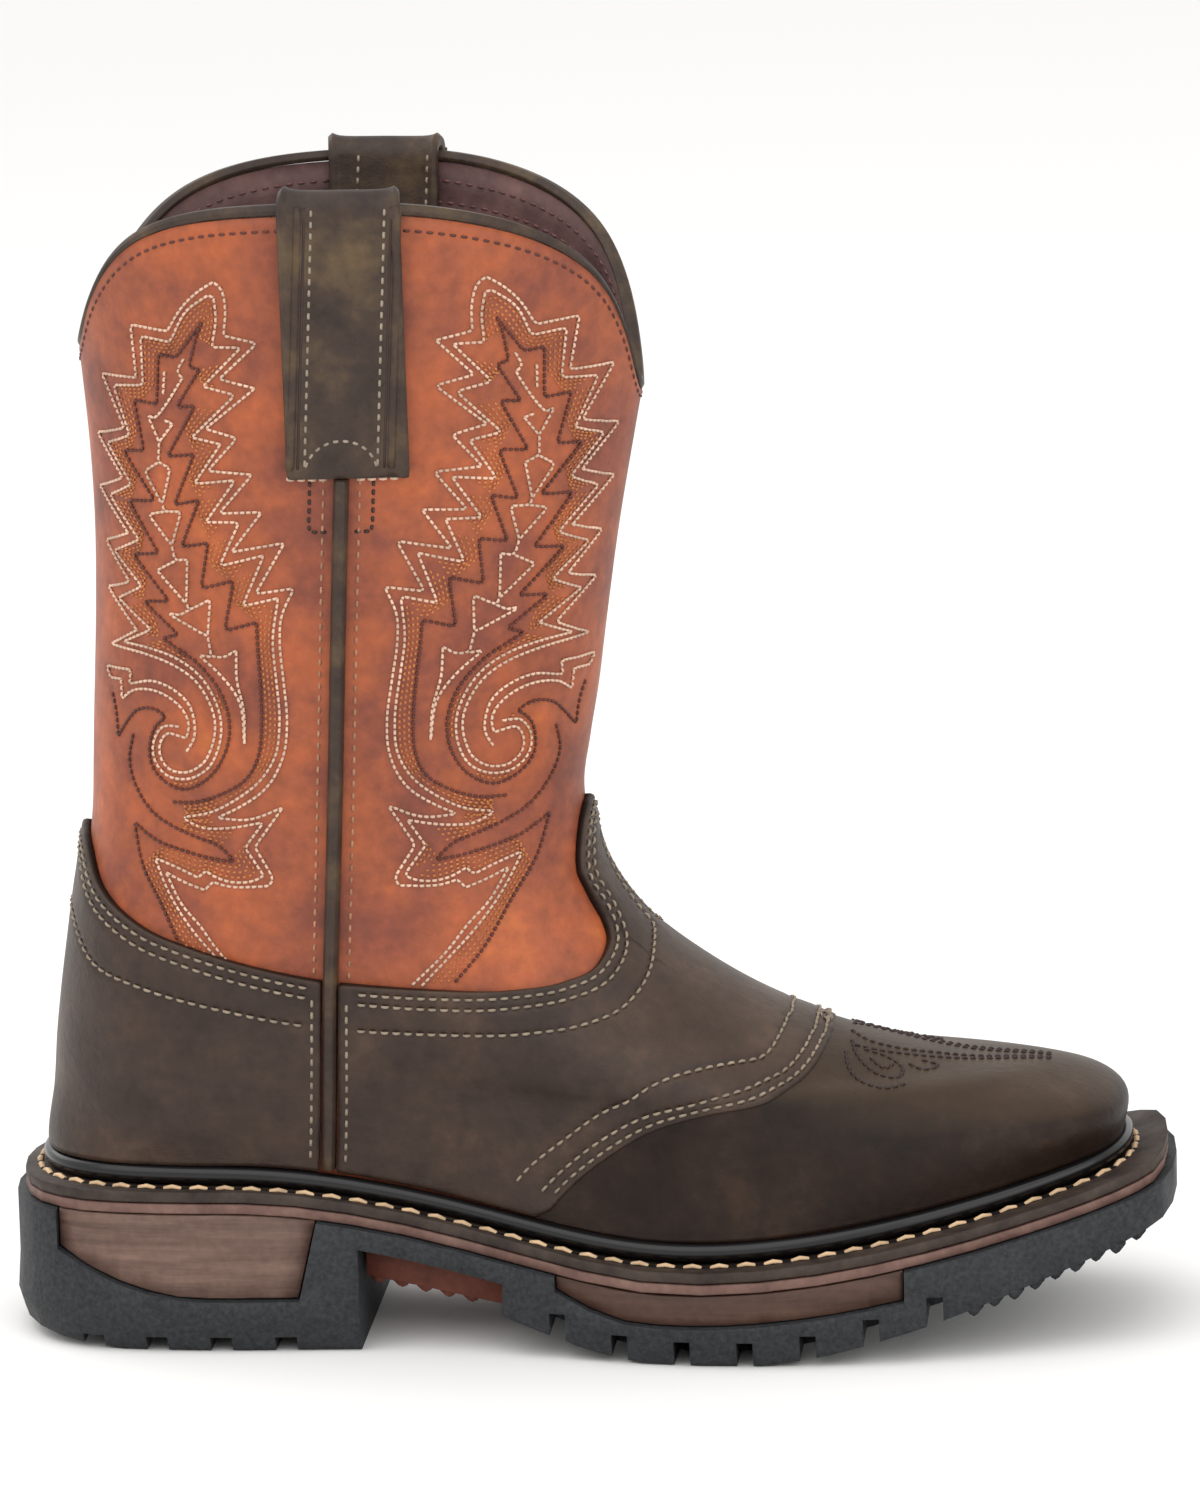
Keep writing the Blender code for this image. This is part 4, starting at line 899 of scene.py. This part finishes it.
def inset_row(line, side, inset):
    """A side-view line moved sideways over the skin, into the leather it bounds."""
    row = skin_line(smooth_line(line, 1.5), side)
    points = on_skin(row[:, 0], row[:, 1], 0.0)
    run = np.gradient(points, axis=0)
    run /= np.linalg.norm(run, axis=1)[:, None]
    normal = np.array([outward(a, u) for a, u in row])
    right = np.cross(run, normal) * (-side)
    found = []
    for (angle, up), shift in zip(row, right * inset):
        across, climb = read_grid(ALONG, angle, up), read_grid(CLIMB, angle, up)
        metric = np.array([[across @ across, across @ climb], [across @ climb, climb @ climb]])
        change = np.linalg.solve(metric, np.array([across @ shift, climb @ shift]))
        found.append((angle + change[0], up + change[1]))
    found = np.array(found)
    turned = found[:, 0] if side < 0 else 360.0 - found[:, 0]
    return found[(found[:, 1] > BEAD_TOP + FOOT_CLEAR) & (turned > 0.0) & (turned < 180.0)]


def clear_of_seam(row, gap):
    """The stretches of a row that stay this far from the side seam."""
    points = on_skin(row[:, 0], row[:, 1], 0.0)
    ahead = points[:, 0] - SEAM_FOOT - SEAM_LEAN * points[:, 2]
    return [part for part in (row[ahead < -gap], row[ahead > gap]) if len(part) > 3]


THIRD_BACK = ((-13.0, 90.9), (-6.6, 81.4), (2.1, 78.3), (19.9, 73.6), (36.3, 70.4), (44.8, 69.6))
THIRD_FRONT = (
    (38.8, 70.2), (44.8, 69.6), (64.7, 68.9), (85.5, 68.5), (94.9, 69.1), (103.1, 71.8), (107.5, 77.1),
    (107.0, 84.3), (103.8, 89.8), (103.2, 95.2),
)
SADDLE_INNER = (
    (137.1, 67.1), (135.0, 63.0), (132.2, 59.6), (126.5, 59.1), (119.9, 58.8), (110.8, 57.4), (100.4, 52.5),
    (92.0, 46.2), (82.3, 37.7), (77.6, 31.0), (73.5, 22.0),
)
SEAM_CLEAR = 4.2
THIRD_FRONT_TOP = 103.5


def both_sides(line, inset=0.0, behind=None):
    """An inset line on both sides, and where the seam cuts it, the stretch on one side of it."""
    rows = [inset_row(line, side, inset) for side in SIDES]
    if behind is None:
        return rows
    return [clear_of_seam(row, SEAM_CLEAR)[0 if behind else -1] for row in rows]


def round_heel(near, far):
    """One row from the far side round the heel to the near side."""
    return np.concatenate([far[::-1] - (360.0, 0.0), near])


edge_rows = []
for inset in ROW_INSETS:
    edge_rows.append(round_heel(*both_sides(COUNTER_EDGE, inset, True)))
    near, far = both_sides(SADDLE_EDGE, inset, False)
    edge_rows.append(np.concatenate([near, far[::-1]]))
    near, far = both_sides(VAMP_EDGE, inset)
    edge_rows.append(np.concatenate([near[::-1], far]))
edge_rows.append(round_heel(*both_sides(THIRD_BACK, 0.0, True)))
near, far = both_sides(THIRD_FRONT, 0.0, False)
edge_rows.append(np.concatenate([near, [[180.0, middle_height(THIRD_FRONT_TOP, 180.0)]], far[::-1]]))
near, far = both_sides(SADDLE_INNER)
edge_rows.append(np.concatenate([near[::-1], far]))
sewn_tree = nearest(np.concatenate([resample(row, PANEL_FACE, 0.8)[2] for row in edge_rows]))

# Waxed chocolate cowhide: brown clouds of 20 mm over a dark ground, a soft sheen, and a painted
# highlight, a paler brown on the faces that look up. The grain is drawn at 0.7 mm so it shows.
FOOT_HIDE, _, _ = leather_material(
    "waxed_chocolate_cowhide",
    ((0.28, "261913"), (0.76, "503b2e"), (0.42, "2e2019"), (0.56, "392a21")),
    mottle=20.0, grain=0.7, roughness=0.47, bump=0.34, worn=0.12,
)
# The same hide at the toe: darker shades, less glare, and a stronger painted highlight facing up.
TOE_HIDE, _, toe_shader = leather_material(
    "waxed_chocolate_cowhide_toe",
    ((0.28, "19100b"), (0.76, "3a2a20"), (0.42, "1f1510"), (0.56, "281c15")),
    mottle=20.0, grain=0.7, roughness=0.45, bump=0.34, worn=0.16,
)
toe_shader.inputs["Specular IOR Level"].default_value = 0.2
FOOT_ROW = BEAD_TOP + 0.1
SEAM_UPS = np.linspace(0.0, RIM, 60)
SEAMS = {
    (side, shift): np.array([seam_angle(u, side, shift) for u in SEAM_UPS])
    for side in SIDES for shift in (-SEAM_HALF, SEAM_HALF)
}


def between_seams(shift, fraction):
    """Angles of a panel's columns from one side seam to the other, which lean with the seams."""
    def turns(climb):
        near = np.interp(climb, SEAM_UPS, SEAMS[-1, shift])
        far = np.interp(climb, SEAM_UPS, SEAMS[1, shift]) - (360.0 if shift < 0 else 0.0)
        return near + (far - near) * fraction
    return turns


SETTLE_ROUNDS = 12


def settle_edge(line, columns, count, middle):
    """Lengths up the skin where leaning columns meet an edge line."""
    climb = np.full(count, 40.0)
    for _ in range(SETTLE_ROUNDS):
        climb = 0.4 * climb + 0.6 * edge_heights(line, columns(climb) % 360.0, middle)
    return climb


# Heights where the edges cross the back and the front.
COUNTER_BACK, SADDLE_FRONT, VAMP_FRONT = 109.2, 117.0, 71.0
COUNTER_COLUMNS, SADDLE_COLUMNS, VAMP_COLUMNS = 221, 301, 201
share = np.linspace(0.0, 1.0, COUNTER_COLUMNS)
columns = between_seams(-SEAM_HALF, share)
back = (0.0, middle_height(COUNTER_BACK, 0.0))
high = settle_edge(COUNTER_EDGE, columns, COUNTER_COLUMNS, back)
low = np.full(COUNTER_COLUMNS, FOOT_ROW)
turn, climb, out = panel(columns, low, high, PANEL_LEATHER, row_count=74, edges=(False, True))
add_panel("heel_counter", turn % 360.0, climb, out, FOOT_HIDE, "dark_brown_leather", "counter")

share = np.linspace(0.0, 1.0, SADDLE_COLUMNS)
columns = between_seams(SEAM_HALF, share)
top, front = (180.0, middle_height(SADDLE_FRONT, 180.0)), (180.0, middle_height(VAMP_FRONT, 180.0))
high = settle_edge(SADDLE_EDGE, columns, SADDLE_COLUMNS, top)
low = settle_edge(VAMP_EDGE, columns, SADDLE_COLUMNS, front)
foot = [skin_line(VAMP_EDGE[-2:-1], side)[0][0] for side in SIDES]
turns = columns(low)
behind = (turns < foot[0] + 1.0) | (turns > foot[1] - 1.0)
low = np.where(behind, FOOT_ROW, np.maximum(low, FOOT_ROW))
turn, climb, out = panel(columns, low, high, PANEL_LEATHER, row_count=90, edges=(True, True))
add_panel("saddle_leather", turn, climb, out, FOOT_HIDE, "dark_brown_leather", "saddle")

# The vamp is skived to 1.1 mm and runs 5 mm under the saddle's edge.
VAMP_LEATHER, VAMP_UNDER = 1.1, 5.0
turns = np.linspace(foot[0] - 3.0, foot[1] + 3.0, VAMP_COLUMNS)
high = np.maximum(edge_heights(VAMP_EDGE, turns, front), FOOT_ROW + 1.0) + VAMP_UNDER
low = np.full(VAMP_COLUMNS, FOOT_ROW)
turn, climb, out = panel(turns, low, high, VAMP_LEATHER, row_count=46, edges=(False, False))
toe_vamp = add_panel("toe_vamp", turn, climb, out, TOE_HIDE, "dark_brown_leather", "vamp")

# Waxed tan thread: greyish, so the rows show softly on the brown leather.
TAN_THREAD = thread_material("waxed_tan_thread", "8e7f6c")
edge_runs = [skin_run(row, PANEL_FACE, 2.5) for row in edge_rows]
sew("panel_edge_rows", edge_runs, TAN_THREAD, "dark_brown_leather", length=0.74, thick=0.58, sink=0.12)

# Piping rows: bonded thread each side of the piping, 3.7 mm from the seam's line, which holds
# the seam's turned edges down. It is fawn on the shaft and tan on the brown leather.
SEAM_THREAD = thread_material("fawn_thread", "a9785a")
ROW_FROM_SEAM, PANEL_TOP_AT_SEAM = 3.7, 79.5
shaft_rows, foot_rows = [], []
for side in SIDES:
    top = middle_height(PANEL_TOP_AT_SEAM, 72.0 if side < 0 else 288.0)
    for shift in (-ROW_FROM_SEAM, ROW_FROM_SEAM):
        for low_up, high_up, rows, face in (
            (top + 2.0, RIM - 3.0, shaft_rows, 0.0), (BEAD_TOP + 2.5, top - 3.0, foot_rows, PANEL_FACE),
        ):
            climb = np.arange(low_up, high_up, 2.0)
            row = np.array([(seam_angle(u, side, shift), u) for u in climb])
            rows.append(skin_run(row, face, 2.6))
sew("piping_rows_shaft", shaft_rows, SEAM_THREAD, "rust_leather", length=0.7, thick=0.56, sink=0.12)
sew("piping_rows_foot", foot_rows, TAN_THREAD, "dark_brown_leather", length=0.74, thick=0.58, sink=0.12)

# Binding row: one row of chestnut thread round the boot, 2.5 mm below the rim, which holds the
# binding on.
binding_run = skin_run(ring_below(2.5), 0.0, 2.4)
sew("binding_row", [binding_run], DARK_THREAD, "rust_leather", length=0.78, thick=0.52, sink=0.1)

# Toe rows: decorative rows of waxed oxblood thread, sewn into the flat vamp before it is lasted:
# a blossom either side at the saddle's front edge, with two lines from it to the tip.
TOE_LINES = (
    # along, across, seen from above
    ((149.5, 3.0), (153.0, 6.0), (159.0, 6.4), (168.0, 4.4), (180.0, 2.4), (192.0, 1.0)),
    ((150.5, 10.0), (156.0, 9.6), (161.0, 8.6), (170.0, 6.4), (181.0, 3.9), (192.0, 2.1)),
    ((150.0, 8.0), (151.5, 14.0), (155.5, 18.5), (160.0, 19.5), (161.0, 15.0), (157.5, 11.5), (152.5, 10.8)),
    ((149.0, 13.0), (150.0, 19.0), (153.5, 23.0), (158.0, 24.0), (162.0, 21.5)),
    ((154.0, 13.5), (157.5, 16.5), (159.0, 13.8)),
    ((162.0, 12.5), (165.5, 14.5), (168.5, 11.0), (164.5, 10.0)),
)
ABOVE, DOWN, UP = 200.0, (0.0, 0.0, -1.0), (0.0, 0.0, 1.0)
toe_faces = surface(toe_vamp)
toe_runs = []
for side in SIDES:
    for line in TOE_LINES:
        starts = [(x, side * y, ABOVE) for x, y in smooth_line(line, 1.0)]
        toe_runs.append(cast_run(toe_faces, starts, DOWN, 1.8))
# Waxed oxblood thread: nearly black, so rows read as fine dark lines; it also paints crease shade.
OXBLOOD_THREAD_AND_CREASE_SHADE = thread_material("oxblood_thread_and_crease_shade", "2c1510")
sew("toe_rows", toe_runs, OXBLOOD_THREAD_AND_CREASE_SHADE, "dark_brown_leather", length=0.88, thick=0.66, sink=0.06)

# Piping and pull straps: strips of weathered olive-brown cowhide. The piping is folded over a cord
# and caught in the side seam, and each strap is looped over the rim. They keep their solids'
# form, merged and subdivided so that their edges read soft.
CREASE, WORN_EDGE, WORN_ABOVE = 0.8, 0.3, 38


def dress(node, name, material, slot, levels, sharp=40.0):
    """A fine copy of a node's solid: merged, in quads, its sharp edges held, and subdivided.

    With no levels its edges are worn round instead.
    """
    piece = NODES[node].copy()
    piece.data = NODES[node].data.copy()
    for key in list(piece.keys()):
        del piece[key]
    piece.parent = None
    piece.name = piece.data.name = name
    bpy.context.scene.collection.objects.link(piece)
    bpy.ops.object.select_all(action="DESELECT")
    piece.select_set(True)
    bpy.context.view_layer.objects.active = piece
    bpy.ops.object.mode_set(mode="EDIT")
    bpy.ops.mesh.select_all(action="SELECT")
    bpy.ops.mesh.remove_doubles(threshold=1e-6)
    bpy.ops.mesh.dissolve_limited(angle_limit=math.radians(0.3))
    bpy.ops.mesh.quads_convert_to_tris()
    bpy.ops.mesh.tris_convert_to_quads(face_threshold=math.radians(60), shape_threshold=math.radians(80))
    bpy.ops.mesh.select_all(action="DESELECT")
    bpy.ops.object.mode_set(mode="OBJECT")
    work = bmesh.new()
    work.from_mesh(piece.data)
    crease = work.edges.layers.float.get("crease_edge") or work.edges.layers.float.new("crease_edge")
    for edge in work.edges:
        if edge.calc_face_angle(0.0) > math.radians(sharp):
            edge[crease] = CREASE
    work.to_mesh(piece.data)
    work.free()
    piece.data.materials.clear()
    piece.data.materials.append(material)
    if levels:
        finer = piece.modifiers.new("finer", "SUBSURF")
        finer.levels = finer.render_levels = levels
        bpy.ops.object.modifier_apply(modifier=finer.name)
    else:
        worn = piece.modifiers.new("worn_edges", "BEVEL")
        worn.width, worn.segments, worn.harden_normals = WORN_EDGE * MM, 2, True
        worn.limit_method, worn.angle_limit = "ANGLE", math.radians(WORN_ABOVE)
        bpy.ops.object.modifier_apply(modifier=worn.name)
    piece.data.shade_smooth()
    return finish_piece(piece, slot, node)


# Weathered olive cowhide: a dull greenish brown in patches of 14 mm, rubbed and dry.
TRIM_HIDE, _, _ = leather_material(
    "weathered_olive_cowhide",
    ((0.30, "271c17"), (0.72, "58462f"), (0.5, "3a2c23")),
    mottle=14.0, grain=0.8, roughness=0.5, bump=0.25,
)
for name in ("lateral", "medial"):
    dress("piping_" + name, "seam_piping_" + name, TRIM_HIDE, "grey_brown_leather", levels=2)
    dress("pull_strap_" + name, "pull_loop_" + name, TRIM_HIDE, "grey_brown_leather", levels=2)

# Strap rows: a cream row inside both edges on the outer and inner face, an arc over the piping's
# end, a rolled edge with a near-black cord beside it, painted shade of a crease, and below the strap
# a dark sewn box that holds its ends. Insets are from the strap's side edge.
ROW_INSET, CREASE_INSET, EDGE_INSET, BOX_INSET = 4.3, 2.9, 1.5, 5.2
ARC_RADIUS, ARC_RISE, BOX_DROP, BOX_DEPTH = 7.5, 7.0, 0.6, 11.0
BESIDE = 200.0


def by_seam(ahead, z, y):
    """A place this far ahead of the side seam's line."""
    return (SEAM_FOOT + SEAM_LEAN * z + ahead, y, z)


def meets(faces, start, direction):
    """Whether a ray from a start meets a piece."""
    return faces.ray_cast(Vector(start) * MM, Vector(direction))[0] is not None


strap_rows, strap_crease_shade, strap_edges, box_rows, end_rows = [], [], [], [], []
for side, name in zip(SIDES, ("lateral", "medial")):
    faces = surface(bpy.data.objects["pull_loop_" + name])
    y, toward, back = side * BESIDE, (0.0, -side, 0.0), (0.0, side, 0.0)
    heights = [z for z in np.arange(150.0, 246.0, 0.25) if meets(faces, by_seam(0.0, z, y), toward)]
    bottom, top = heights[0], heights[-1]
    up_line = np.arange(bottom + 2.0, top - 1.5, 1.5)
    half = min(
        max(a for a in np.arange(0.0, 20.0, 0.25) if meets(faces, by_seam(a * way, BESIDE, y), toward))
        for way in (-1, 1)
    )
    for way in (-1, 1):
        for runs, inset, pitch in (
            (strap_rows, ROW_INSET, 2.4), (strap_crease_shade, CREASE_INSET, 3.0), (strap_edges, EDGE_INSET, 3.0),
        ):
            starts = [by_seam(way * (half - inset), z, y) for z in up_line]
            runs.append(cast_run(faces, starts, toward, pitch))
        inside = [by_seam(way * (half - ROW_INSET), z, 0.0) for z in up_line]
        inside = [start for start in inside if meets(faces, start, back)]
        strap_rows.append(cast_run(faces, inside, back, 2.4))
        box = [(way * (half - BOX_INSET), bottom - BOX_DROP - t) for t in np.arange(0.0, BOX_DEPTH, 1.0)]
        foot_of_box = bottom - BOX_DROP - BOX_DEPTH
        box += [(way * t, foot_of_box) for t in np.arange(half - BOX_INSET, 1.8, -1.0)]
        edge = [(way * t, bottom - 0.5) for t in np.arange(half, 2.2, -1.0)]
        for line, runs, pitch in ((box, box_rows, 1.9), (edge, end_rows, 2.4)):
            row = [locate(SEAM_FOOT + SEAM_LEAN * z + a, z, side) for a, z in line]
            runs.append(skin_run(np.array(row), 0.0, pitch))
    arc = []
    for t in np.linspace(0.05, 0.95, 24) * math.pi:
        arc.append(by_seam(math.cos(t) * ARC_RADIUS, bottom + 0.8 + ARC_RISE * math.sin(t), y))
    strap_rows.append(cast_run(faces, arc, toward, 2.0))
# Grey-cream thread: paler than the strap's leather and duller than the flames' thread.
STRAP_THREAD = thread_material("grey_cream_thread", "918472")
sew("strap_rows", strap_rows, STRAP_THREAD, "grey_brown_leather", length=0.72, thick=0.54, sink=0.1)
# A near-black cord in the oxblood thread's material, let into the strap: painted shade of a crease.
cord("strap_crease_shade", strap_crease_shade, OXBLOOD_THREAD_AND_CREASE_SHADE, "grey_brown_leather", thick=0.7, sink=0.2)
cord("strap_edges", strap_edges, TRIM_HIDE, "grey_brown_leather", thick=2.0, sink=0.45)
sew("strap_box", box_rows, OXBLOOD_THREAD_AND_CREASE_SHADE, "rust_leather", length=0.8, thick=0.62, sink=0.1)
sew("strap_end_thread", end_rows, PALE_THREAD, "rust_leather", length=0.95, thick=0.8, sink=0.1)

# Binding: a strip of the same cowhide folded over the rim's raw edge, all round the scallops, and
# held by the binding row.
dress("top_binding", "rim_binding", TRIM_HIDE, "grey_brown_leather", levels=2)

# Bead: a black rubber cord laid where the upper meets the welt, which keeps water out of the
# joint. Extruded and polished, so it shows a thin line of light.
BEAD_RUBBER, _, _ = new_material(
    "polished_black_rubber", "0c0a0b", Roughness=0.3, Specular_IOR_Level=0.35, Coat_Weight=0.15
)
bead = dress("rand", "storm_bead", BEAD_RUBBER, "black_bead_rubber", levels=2, sharp=200.0)

# Welt: a strip of dyed sole leather round the boot, sewn to the upper inside and to the midsole
# through its shelf. Its edge is trimmed and inked, so it is dark, matte and a little uneven.
WELT_HIDE, _, _ = leather_material(
    "dyed_welt_leather", ((0.3, "1f1714"), (0.7, "453830")), mottle=9.0, grain=0.7, roughness=0.6, bump=0.2
)
welt = dress("welt", "stitched_welt", WELT_HIDE, "grey_welt_leather", levels=0)

# Midsole: a layer of pinkish-brown pressed board between welt and outsole, cemented and then
# sanded at its edge, so it shows soft blotches and no gloss.
MIDSOLE_BOARD, _, _ = leather_material(
    "pink_brown_midsole_board", ((0.3, "533a33"), (0.7, "785c52")),
    mottle=9.0, grain=0.7, roughness=0.6, bump=0.2,
)
dress("midsole", "midsole_layer", MIDSOLE_BOARD, "pink_brown_midsole", levels=0)

# Wedges: grained brown board let into the pockets of the heel and the forefoot. Sawn and sealed,
# so its figure runs along the sole in long streaks with a satin face; the front one is darker.
ALONG_SOLE = (0.12, 0.12, 1.6)
for node, name, board, shades in (
    ("heel_wedge", "heel_filler", "grained_brown_wedge", ((0.3, "4e3a31"), (0.7, "775e53"))),
    ("forefoot_wedge", "forefoot_filler", "grained_brown_wedge_front", ((0.3, "35231b"), (0.7, "523a2f"))),
):
    material, _, _ = leather_material(
        board, shades, mottle=5.0, grain=0.7, roughness=0.5, bump=0.2, stretch=ALONG_SOLE
    )
    dress(node, name, material, "brown_wedge_board", levels=0)

# Outsole: moulded nitrile rubber, charcoal with a fine spark texture from its mould, cemented
# under the midsole. The texture is drawn at 1.1 mm, coarser than the real one, so it shows.
SOLE_RUBBER, _, _ = leather_material(
    "moulded_nitrile_rubber", ((0.35, "1b1c1e"), (0.68, "303235")),
    mottle=1.1, grain=0.6, roughness=0.6, bump=0.3,
)
sole = dress("outsole", "moulded_outsole", SOLE_RUBBER, "black_sole_rubber", levels=0)

# Shank pad: a red-brown moulded rubber pad under the arch, between heel and forefoot. Matte, with
# a faint cloud where it has been handled.
PAD_RUBBER, _, _ = leather_material(
    "red_brown_rubber_pad", ((0.3, "4a261c"), (0.7, "713b2c")),
    mottle=12.0, grain=0.6, roughness=0.65, bump=0.15,
)
pad = dress("shank_pad", "arch_pad", PAD_RUBBER, "red_brown_pad_rubber", levels=0)

# Footbed: a brushed cloth over foam that lies loose inside on the welt and the midsole. Its nap
# takes the light evenly, so it shows no gloss.
FOOTBED, _, _ = leather_material(
    "brushed_footbed_cloth", ((0.3, "453631"), (0.7, "6a5750")),
    mottle=8.0, grain=0.5, roughness=0.9, bump=0.3,
)
dress("insole", "footbed", FOOTBED, "footbed_fabric", levels=0)

# Welt stitches: thick waxed cream thread, 5.6 mm a stitch, that locks welt and midsole together.
# It lies beside the bead on a near-black cord, painted shade of a stitch groove that is not cut.
STITCH_PITCH, FROM_BEAD, BEAD_HEIGHT = 5.6, 1.0, 2.2
welt_faces, bead_faces = surface(welt), surface(bead)
starts = []
for angle in np.arange(0.0, 360.0, 1.0):
    base, away_from = on_skin(angle, 0.0, 0.0), outward(angle, 0.0).copy()
    away_from[2] = 0.0
    away_from /= np.linalg.norm(away_from)
    begin = base + away_from * 40.0 + np.array([0.0, 0.0, BEAD_HEIGHT])
    met = bead_faces.ray_cast(Vector(begin) * MM, Vector(-away_from))[0]
    if met is not None:
        starts.append(np.array(met) / MM + away_from * FROM_BEAD + np.array([0.0, 0.0, 12.0]))
starts.append(starts[0])
welt_run = cast_run(welt_faces, starts, DOWN, STITCH_PITCH)
# Heavy cream thread: pale against the dark welt. The groove is a dull near-black cord, painted shade.
WELT_THREAD = thread_material("heavy_cream_thread", "d6b48c")
GROOVE_SHADE, _, _ = new_material("painted_groove_shade", "100c0a", Roughness=0.7, Specular_IOR_Level=0.2)
cord("welt_groove", [welt_run], GROOVE_SHADE, "grey_welt_leather", thick=2.4, sink=0.95)
sew("welt_stitches", [welt_run], WELT_THREAD, "grey_welt_leather", length=0.9, thick=1.15, sink=0.1)

# Ribs: low ridges across the pad and under the toe, moulded in one with the rubber above them,
# so that the sole grips.


def cross_ribs(name, under, stations, material, slot, half_width, reach, depth):
    """Ribs across the boot under a piece, following its lower face."""
    faces_under = surface(under)
    rib = ((-0.5, -0.4), (-0.2, depth * 0.7), (0.0, depth), (0.2, depth * 0.7), (0.5, -0.4))
    points, faces = [], []
    for x in stations:
        line = []
        for y in np.linspace(-half_width, half_width, 41):
            hit = faces_under.ray_cast(Vector((x, y, -20.0)) * MM, Vector(UP))[0]
            if hit is not None:
                line.append(np.array(hit) / MM)
        if len(line) > 3:
            faces += tube_faces(len(points), len(line), len(rib))
            points += [place + np.array([along * reach, 0.0, -drop]) for place in line for along, drop in rib]
    return add_piece(name, points, faces, material, slot)


ends = [v.co.x / MM for v in pad.data.vertices]
pad_stations, toe_stations = np.arange(min(ends) + 2.6, max(ends) - 2.0, 4.9), np.arange(176.0, 212.0, 4.2)
cross_ribs(
    "pad_ribs", pad, pad_stations, PAD_RUBBER, "red_brown_pad_rubber", half_width=24.0, reach=4.4, depth=1.3
)
cross_ribs(
    "toe_ridges", sole, toe_stations, SOLE_RUBBER, "black_sole_rubber", half_width=44.0, reach=4.1, depth=1.7
)
